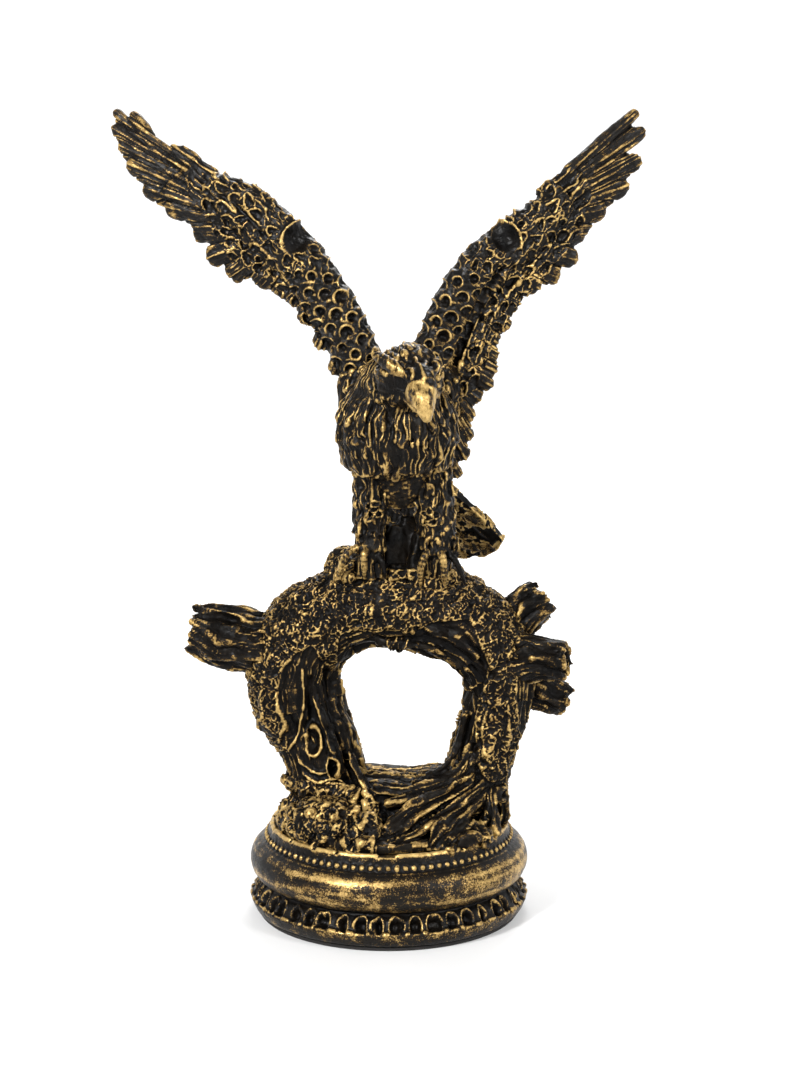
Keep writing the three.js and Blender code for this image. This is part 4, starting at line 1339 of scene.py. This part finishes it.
# The arm runs from shoulder to wrist and beyond, and the web lies behind it. Each flight feather is its root
# and tip in x and z, its half width and its bow. The rings stop at a run along the arm.
WINGS = {
    "left_wing": {
        "root": (-8, 194),
        "arm": [
            (-8, 4, 194, 8, 6.5), (-14, 4, 207, 8.4, 6.5), (-20, 5, 218, 8.4, 6.5), (-29, 6, 231, 8.6, 6.5),
            (-39, 7, 241.5, 9, 6.5), (-48, 8, 249.5, 8.6, 6), (-56, 9, 255.5, 7, 5),
            (-62, 10, 260, 4.6, 3.5),
        ],
        "web": [
            (-14, 6.5, 198, 5, 3), (-22, 7, 212, 5, 3), (-31, 7.5, 222, 6, 3), (-42, 8.5, 232, 8, 3),
            (-52, 10, 241, 9, 3), (-62, 11.5, 250, 9, 3), (-74, 14, 262, 8, 2.4),
        ],
        "flight": [
            ((-54, 257), (-90.2, 283.8), 2.8, -5.0), ((-54, 256), (-96.4, 284.6), 3.0, -4.6),
            ((-53, 254), (-97, 279), 3.4, -3.6), ((-53, 252), (-94.6, 272.6), 3.6, -2.4),
            ((-53, 250), (-91.6, 266.5), 4.2, -1.2), ((-51, 247), (-86, 258), 4.6, 0.0),
            ((-49, 245), (-78, 251.5), 4.6, 0.0), ((-47, 243), (-68.5, 242.5), 4.8, 0.0),
            ((-45, 241), (-63.5, 233.5), 4.8, 0.0), ((-41, 238), (-56, 227), 4.8, 0.0),
            ((-36, 235), (-46.5, 224.5), 4.8, 0.0), ((-32, 231), (-37.5, 219.5), 4.4, 0.0),
            ((-26, 222), (-29.5, 210.5), 3.6, 0.0), ((-20, 212), (-24.5, 202), 3.4, 0.0),
            ((-14, 203), (-19.5, 193.5), 3.2, 0.0),
        ],
        "rings_to": 41.0,
        "hollow": (-31.2, 240.6),
        "coverts": [
            (-67, 264), (-66, 256), (-63, 248), (-60, 241), (-55, 233), (-49, 230), (-43.5, 227), (-36, 221),
            (-28, 208), (-22, 205), (-30, 224), (-37, 234), (-46, 245), (-54.5, 255), (-61, 266),
        ],
        "veins": [
            ([(-24, 209), (-31, 221), (-38, 231), (-47, 241), (-56, 250)], 0.5, 1.0),
            ([(-36, 243.5), (-44, 252), (-53, 259), (-60, 263)], 0.6, 0.8),
            ([(-40, 239), (-50, 249), (-60, 257)], 0.8, -1.2),
        ],
        "side": 1.0,
    },
    "right_wing": {
        "root": (14, 192),
        "arm": [
            (14, 4, 192, 8, 6.5), (17, 4, 202, 8.4, 6.5), (23, 5, 216, 8.4, 6.5), (31, 6, 228.5, 8.4, 6.5),
            (39, 7, 235.5, 8.6, 6.5), (47, 8, 241.5, 8.4, 6), (56, 9, 250, 6.4, 5), (62, 10, 256, 4.4, 3.5),
        ],
        "web": [
            (22, 7, 160, 3, 3), (24, 7, 176, 4, 3), (27, 7, 190, 6, 3), (32, 7.5, 204, 6, 3),
            (39, 8.5, 219, 6.5, 3), (48, 9.5, 231, 8, 3), (58, 11, 242, 9, 3), (70, 14, 256, 8.5, 2.4),
        ],
        "flight": [
            ((52, 254), (87.4, 284.2), 3.0, 0.6), ((51, 251), (90, 278), 3.6, 0.0),
            ((50, 248), (88.4, 267.8), 4.4, 0.0), ((50, 246), (84, 258.8), 4.5, 0.0),
            ((49, 244), (76, 251), 4.6, 0.0), ((48, 241), (68.4, 242), 4.6, 0.0),
            ((46, 238), (66, 233), 4.3, 0.0), ((43, 234), (60, 226.5), 4.2, 0.0),
            ((40, 230), (53, 223), 4.0, 0.0), ((36, 224), (45, 215.5), 4.0, 0.0),
            ((33, 218), (42, 209), 3.8, 0.0), ((29, 211), (38.4, 204), 3.4, 0.0),
            ((27, 206), (38.4, 199), 3.4, 0.0), ((26, 201), (38.0, 194), 3.4, 0.0),
            ((25, 196), (36.5, 189), 3.4, 0.0), ((23, 191), (32.5, 184), 3.4, 0.0),
            ((24, 184), (29.5, 177), 2.9, 0.0), ((24, 178), (28.8, 170), 2.9, 0.0),
            ((23, 171), (27.5, 163), 2.9, 0.0), ((20, 165), (25, 156.5), 2.7, 0.0),
        ],
        "rings_to": 40.0,
        "hollow": (40.5, 240.6),
        "coverts": [
            (27, 199.5), (33, 214), (40, 227), (49.5, 238), (58, 247), (65.5, 253), (69, 247), (63, 238),
            (58, 230.5), (53.5, 226), (46.5, 218), (42, 212), (37, 205), (31, 188), (22, 184),
        ],
        "veins": [
            ([(24.5, 193), (28, 204.5), (32.5, 215.5), (38, 225), (44.5, 233), (52, 241)], 0.5, 1.3),
            ([(22, 193), (25.5, 204), (30, 214.5), (35, 223.5), (41, 231.5)], 1.3, -2.6),
            ([(30, 196), (34, 208), (40, 219), (48, 229), (58, 240)], 0.5, 0.9),
        ],
        "side": -1.0,
    },
}

ARM_RINGS = {"pitch": (7.6, 3.9), "radius": 2.15, "stretch": 1.1, "jitter": 0.9, "seed": 1}
COVERT_RINGS = {"pitch": (7.4, 3.3), "radius": 1.75, "stretch": 1.6, "jitter": 1.8, "seed": 9}
WING_SWEEP = 17.0
WING_REACH = 125.0


def ring_scales(run, side, pitch, radius, stretch, jitter, seed):
    """Columns of ringed scales, open towards the shoulder: how proud and how hollow each point is."""
    ridge = np.zeros(len(run))
    hollow = np.zeros(len(run))
    middle = np.round(side / pitch[1])
    for step in (-1, 0, 1):
        column = middle + step
        shift = 0.5 * np.mod(column, 2)
        row = np.round(run / pitch[0] - shift)
        cell = columns(row, column, 0.0).astype(np.int64)
        ahead = run - (row + shift) * pitch[0] + jitter * (scatter(cell, seed) - 0.5)
        across = side - column * pitch[1] + jitter * (scatter(cell, seed + 1) - 0.5)
        size = radius * (0.75 + 0.5 * scatter(cell, seed + 2))
        away = np.hypot(ahead / stretch, across) / size
        rim = peak(away - 1, 0.18) * ease(ahead, -0.9, 0.7)
        ridge = np.maximum(ridge, rim * (0.55 + 0.45 * scatter(cell, seed + 3)))
        hollow = np.maximum(hollow, peak(away, 0.78, 4) * ease(ahead, -2.6, 0.6))
    return ridge, hollow


def wing_shells(node):
    """The arm, its web, the flight feathers with a shorter layer over them, and the feathers' lines."""
    wing = WINGS[node]
    shells = [limb(fitted(node, wing["arm"]), sides=16, steps=18)]
    shells.append(limb(fitted(node, wing["web"]), sides=12, steps=18))
    flights = []
    roll = 0.2 * wing["side"]
    ahead = np.array((0.0, -1.6, 0.0))
    for index, ((x0, z0), (x1, z1), half_width, bow) in enumerate(wing["flight"]):
        layer = 0.9 * ((index % 2) - 0.5)
        ends = [(x0, sheet_depth(wing, x0, z0) + layer, z0), (x1, sheet_depth(wing, x1, z1) + layer, z1)]
        root, tip = fitted(node, ends)
        flights.append([(*at, half_width, half_width) for at in (root, (root + tip) / 2, tip)])
        shells.append(leaf(root, tip, half_width, 2.2, roll=roll, sides=14, steps=18, bow=bow))
        start = root + ahead
        end = start + (tip - root) * 0.55
        shells.append(leaf(start, end, half_width * 0.85, 1.5, roll=roll, sides=12, steps=12))
    return shells, flights


def sheet_depth(wing, x, z):
    """How far back the feather panel lies at a place in x and z."""
    away = math.hypot(x - wing["root"][0], z - wing["root"][1]) / WING_REACH
    return 6.0 + WING_SWEEP * away * away


def make_wing(node, voxel, scale_height):
    wing = WINGS[node]
    shells, flights = wing_shells(node)
    cast = Cast(shells, voxel, 3)
    place = cast.place
    facing = cast.normals()
    arm = fitted(node, wing["arm"])[:, (0, 2)]
    run, side, away = beside(place, arm)
    on_arm = ease(away, 9.5, 7.8)
    front = ease(facing[:, 1], 0.4, -0.2)
    ringed = on_arm * ease(run, wing["rings_to"] + 1.5, wing["rings_to"] - 1.0)
    covert = cast.blurred(inside(place, flat(node, wing["coverts"])).astype(float), 3)
    covert = np.clip(covert + on_arm * (1 - ringed) * ease(run, 3, 6), 0, 1)
    ridge, hollow = ring_scales(run, side, **ARM_RINGS)
    knobs = ridged(place / (2.2, 2.2, 2.2), 12)
    amount = ringed * (front * scale_height * (1.1 * ridge - 1.9 * hollow) + 0.25 * knobs * (1 - ridge))
    curl, pit = ring_scales(run + 1.5 * cloud(place, 5, 3), side + 1.2 * cloud(place, 4, 4), **COVERT_RINGS)
    drawn = columns(run / 1.9, side, place[:, 1] * 0.4)
    lace = network(drawn + 1.1 * cloud(place, 2.6, 2)[:, None], 2.2, 7, 0.15)
    lace = lace * ease(cloud(place, 3, 16), -0.6, 0.0)
    amount += covert * (1 - ringed) * (0.9 * curl - 1.1 * pit + 0.6 * lace - 0.1)
    flow, across, owner, near, second = flow_of(place, flights, flat_blade=True)
    long_part = (1 - covert) * (1 - on_arm)
    barb = columns(across / 1.2, flow / 12, owner * 3.1)
    amount += long_part * (0.22 * ridged(barb, 5) + 0.35 * peak(across, 0.45))
    amount -= (1 - on_arm) * 0.8 * peak(second - near, 0.12) * (second < 2.2)
    toward = unit(arm[-3] - arm[2])
    off = place[:, (0, 2)] - flat(node, [wing["hollow"]])[0]
    ahead = off @ toward
    sideways = off @ np.array((-toward[1], toward[0]))
    cup = np.hypot(ahead / 4.8, sideways / 5.6)
    brim = peak(cup - 1.08, 0.12) * ease(ahead, -2.5, 2) * front
    amount = amount * np.where(cup < 1.0, 0.25, 1.0) - 3.0 * peak(cup, 0.78, 4) * front + 1.4 * brim
    for path, width, height in wing["veins"]:
        amount += ease(facing[:, 1], 0.2, -0.3) * vein(place, flat(node, path), width, height)
    cast.push(amount)
    cast.push(0.10 * cloud(place, 1.3, 8) + 0.2 * cloud(place, 4.0, 9))
    tips = np.zeros(cast.count)
    for line in flights:
        tips = np.maximum(tips, peak(np.linalg.norm(place - np.array(line[-1][:3]), axis=1), 3.2))
    cupped = peak(cup, 0.9, 4) * front
    cast.rub(0.19, extra=0.14 * tips - 0.5 * cupped + 0.4 * brim)
    cast.keep("moss", covert * 0.9)
    cast.keep("grain", columns(across, flow, 0.0))
    cast.piece(node + "_casting", node, look=LOOKS["wing"])


TAIL_ROOT = (5, 18, 163)
TAIL_TIPS = [
    (-13, 32, 127), (-8, 34, 124), (-2, 36, 122.5), (5, 38, 122), (12, 39.5, 122), (19, 40, 122.5),
    (26, 40, 124.5), (32.5, 39, 127), (38, 37, 130), (41.5, 34.5, 134),
]


def make_tail(voxel):
    """A flat fan with faint feather divisions, drooping behind the legs."""
    node = "tail"
    lines = []
    root = fitted(node, TAIL_ROOT)
    for tip in TAIL_TIPS:
        tip = fitted(node, tip)
        start = root + (tip - root) * 0.12
        lines.append([(*at, 4, 4) for at in (start, (start + tip) / 2, tip)])
    cast = Cast([cad_shell(node)], voxel, 6)
    place = cast.place
    flow, around, owner, near, second = flow_of(place, lines)
    barb = columns(around / 1.5, flow / 10, owner * 3.1)
    patches = cloud(place, 4.6, 6) + 0.6 * cloud(place, 2.2, 8) + 0.35 * cloud(place, 0.9, 9)
    hollows = 0.7 * ease(patches, 0.0, -0.25)
    grooves = 0.2 * peak(second - near, 0.1)
    cast.push(0.10 * ridged(barb, 5) + 0.15 * cloud(place, 1.5, 7) - hollows - grooves)
    behind = ease(place[:, 0], 24, 20) * ease(place[:, 1], 36, 28)
    cast.rub(0.30, extra=0.55 * ease(patches, -0.25, 0.0) - 0.3 - 0.9 * behind, fine_part=0.35)
    cast.keep("moss", np.full(cast.count, 0.3))
    cast.keep("grain", columns(around, flow, 0.0))
    cast.piece("tail_casting", node, look=LOOKS["plinth"])


# ---- Studio ----

PITCH = math.radians(9.85)
LIT_POINT = Vector((0, 0, 0.15))
# Each light: where it hangs, its width and its power.
LIGHTS = {
    "key": ((-0.6, -0.9, 0.8), 0.25, 19),
    "fill": ((0.8, -0.7, 0.6), 0.35, 8),
    "rim": ((0.1, 0.8, 0.9), 0.5, 7),
}


def make_floor(size, fold):
    """A pale bowl, flat under the statuette and curving up far away, lit behind the statuette."""
    profile = [(0.001, 0.0), (size * 0.5, 0.0), (size - fold, 0.0)]
    for step in range(1, 11):
        bend = math.pi / 2 * step / 10
        profile.append((size - fold + fold * math.sin(bend), fold * (1 - math.cos(bend))))
    profile.append((size, fold + size))
    mesh = mesh_of("studio_bowl", [lathe(np.array(profile) / MM, 96, closed=False)])
    mesh.polygons.foreach_set("use_smooth", [True] * len(mesh.polygons))
    floor = bpy.data.objects.new("studio_bowl", mesh)
    bpy.context.collection.objects.link(floor)
    material = plain_look("Studio bowl", (0.6, 0.6, 0.6), 0.7, 0.0, 30, 0.01, 0.0001)
    tree = material.node_tree
    shader = tree.nodes["Principled BSDF"]
    apart = tree.nodes.new("ShaderNodeSeparateXYZ")
    tree.links.new(tree.nodes.new("ShaderNodeTexCoord").outputs["Object"], apart.inputs[0])
    glow = band(tree, apart.outputs["Y"], -0.5, 0.8, 0.03, 0.62)
    shader.inputs["Emission Color"].default_value = (1, 1, 1, 1)
    tree.links.new(glow, shader.inputs["Emission Strength"])
    floor.data.materials.append(material)


def add_light(name, place, size, power):
    light = bpy.data.lights.new(name, "AREA")
    light.shape = "DISK"
    light.size = size
    light.energy = power
    lamp = bpy.data.objects.new(name, light)
    lamp.location = place
    lamp.rotation_euler = (LIT_POINT - Vector(place)).to_track_quat("-Z", "Y").to_euler()
    bpy.context.collection.objects.link(lamp)


def make_camera(lens, pitch, distance, height, across):
    camera = bpy.data.objects.new("camera", bpy.data.cameras.new("camera"))
    camera.data.lens = lens
    camera.data.sensor_width = 36.0
    camera.location = (across, -distance, height)
    camera.rotation_euler = (math.pi / 2 - pitch, 0, 0)
    bpy.context.collection.objects.link(camera)
    bpy.context.scene.camera = camera


def make_world(strength):
    world = bpy.data.worlds.new("studio")
    world.use_nodes = True
    world.node_tree.nodes["Background"].inputs["Color"].default_value = (1, 1, 1, 1)
    world.node_tree.nodes["Background"].inputs["Strength"].default_value = strength
    bpy.context.scene.world = world


# ---- Add-on ----


def length_setting(name, description, default):
    return bpy.props.FloatProperty(
        name=name, description=description, default=default, unit="LENGTH", subtype="DISTANCE"
    )


def colour_setting(name, description, default):
    return bpy.props.FloatVectorProperty(
        name=name, description=description, default=default, subtype="COLOR", min=0.0, max=1.0
    )


class STATUETTE_PG_settings(bpy.types.PropertyGroup):
    voxel: length_setting("Grain", "Spacing of the cast surface's points", 0.00055)
    fine_voxel: length_setting("Fine grain", "Spacing of the points on the bird's small parts", 0.00042)
    moss_height: length_setting("Moss height", "How far the moss network stands proud", 0.0009)
    bark_height: length_setting("Bark height", "How far the bark's flutes stand proud", 0.0008)
    scale_height: length_setting("Scale height", "How far the wings' ringed scales stand proud", 0.0009)
    jagged: length_setting("Jagged", "How far fibres stick out of the broken branches", 0.0018)
    gold_deep: colour_setting("Deep gold", "Gold where it is nearly worn away", (0.12, 0.066, 0.018))
    gold_bright: colour_setting("Bright gold", "Gold on what stands proudest", (0.66, 0.45, 0.165))
    pearls: bpy.props.IntProperty(name="Pearls", description="Pearls round the rim", default=PEARLS, min=3)
    arches: bpy.props.IntProperty(name="Arches", description="Arches round the cove", default=ARCHES, min=3)
    seed: bpy.props.IntProperty(name="Seed", description="Varies how the feathers fall", default=5)


class STATUETTE_PG_studio(bpy.types.PropertyGroup):
    lens: bpy.props.FloatProperty(name="Lens", description="Focal length in millimetres", default=72.76)
    pitch: bpy.props.FloatProperty(
        name="Pitch", description="How far the camera looks down", default=PITCH, subtype="ANGLE"
    )
    distance: length_setting("Distance", "Camera in front of the statuette", 0.76)
    height: length_setting("Height", "Camera above the floor", 0.267)
    across: length_setting("Across", "Camera right of the middle", 0.0058)
    floor_size: length_setting("Floor", "Half the floor's width", 4.0)
    floor_curve: length_setting("Floor curve", "Radius of the curve up at the floor's edge", 1.0)
    world: bpy.props.FloatProperty(name="World", description="Strength of the even light", default=0.5)


class Make:
    """What every operator here shares."""

    bl_options = {"REGISTER", "UNDO"}


class STATUETTE_OT_looks(Make, bpy.types.Operator):
    """Make the patina, steel and felt finishes."""

    bl_idname = "statuette.looks"
    bl_label = "Finishes"

    def execute(self, context):
        settings = context.scene.statuette
        make_looks(settings.gold_deep, settings.gold_bright)
        return {"FINISHED"}


class STATUETTE_OT_plinth(Make, bpy.types.Operator):
    """Turn the plinth with its pearls and arches, and cut the felt under it."""

    bl_idname = "statuette.plinth"
    bl_label = "Plinth"

    def execute(self, context):
        settings = context.scene.statuette
        make_plinth(settings.pearls, settings.arches)
        make_base_fittings()
        return {"FINISHED"}


class STATUETTE_OT_tree(Make, bpy.types.Operator):
    """Cast the looped trunk with its roots, moss and broken branches."""

    bl_idname = "statuette.tree"
    bl_label = "Tree"

    def execute(self, context):
        settings = context.scene.statuette
        make_tree(settings.voxel / MM, settings.moss_height / MM, settings.bark_height / MM)
        for node in STUBS:
            make_stub(node, settings.voxel / MM, settings.jagged / MM)
        return {"FINISHED"}


class STATUETTE_OT_bird(Make, bpy.types.Operator):
    """Cast the body with its head, and the legs."""

    bl_idname = "statuette.bird"
    bl_label = "Bird"

    def execute(self, context):
        settings = context.scene.statuette
        make_body(settings.fine_voxel / MM, settings.seed)
        for node in LEGS:
            make_leg(node, settings.fine_voxel / MM, settings.seed)
        return {"FINISHED"}


class STATUETTE_OT_wings(Make, bpy.types.Operator):
    """Cast the wings and the tail."""

    bl_idname = "statuette.wings"
    bl_label = "Wings and tail"

    def execute(self, context):
        settings = context.scene.statuette
        for node in WINGS:
            make_wing(node, settings.fine_voxel / MM, settings.scale_height / MM)
        make_tail(settings.fine_voxel / MM)
        return {"FINISHED"}


class STATUETTE_OT_studio(Make, bpy.types.Operator):
    """Lay the floor, hang the lights and set the camera."""

    bl_idname = "statuette.studio"
    bl_label = "Studio"

    def execute(self, context):
        studio = context.scene.statuette_studio
        make_floor(studio.floor_size, studio.floor_curve)
        make_world(studio.world)
        context.scene.view_settings.view_transform = "Standard"
        for name, (place, size, power) in LIGHTS.items():
            add_light(name, place, size, power)
        make_camera(studio.lens, studio.pitch, studio.distance, studio.height, studio.across)
        return {"FINISHED"}


OPERATORS = (
    STATUETTE_OT_looks,
    STATUETTE_OT_plinth,
    STATUETTE_OT_tree,
    STATUETTE_OT_bird,
    STATUETTE_OT_wings,
    STATUETTE_OT_studio,
)


class STATUETTE_PT_panel(bpy.types.Panel):
    """The statuette's steps and sizes."""

    bl_label = "Statuette"
    bl_idname = "STATUETTE_PT_panel"
    bl_space_type = "VIEW_3D"
    bl_region_type = "UI"
    bl_category = "Statuette"

    def draw(self, context):
        for operator in OPERATORS:
            self.layout.operator(operator.bl_idname)
        for group in (context.scene.statuette, context.scene.statuette_studio):
            box = self.layout.box()
            for name in group.__annotations__:
                box.prop(group, name)


CLASSES = (STATUETTE_PG_settings, STATUETTE_PG_studio, *OPERATORS, STATUETTE_PT_panel)


def register():
    for entry in CLASSES:
        bpy.utils.register_class(entry)
    bpy.types.Scene.statuette = bpy.props.PointerProperty(type=STATUETTE_PG_settings)
    bpy.types.Scene.statuette_studio = bpy.props.PointerProperty(type=STATUETTE_PG_studio)


def unregister():
    del bpy.types.Scene.statuette_studio
    del bpy.types.Scene.statuette
    for entry in reversed(CLASSES):
        bpy.utils.unregister_class(entry)


def main():
    register()
    for operator in OPERATORS:
        group, name = operator.bl_idname.split(".")
        getattr(getattr(bpy.ops, group), name)()


if __name__ == "__main__":
    main()
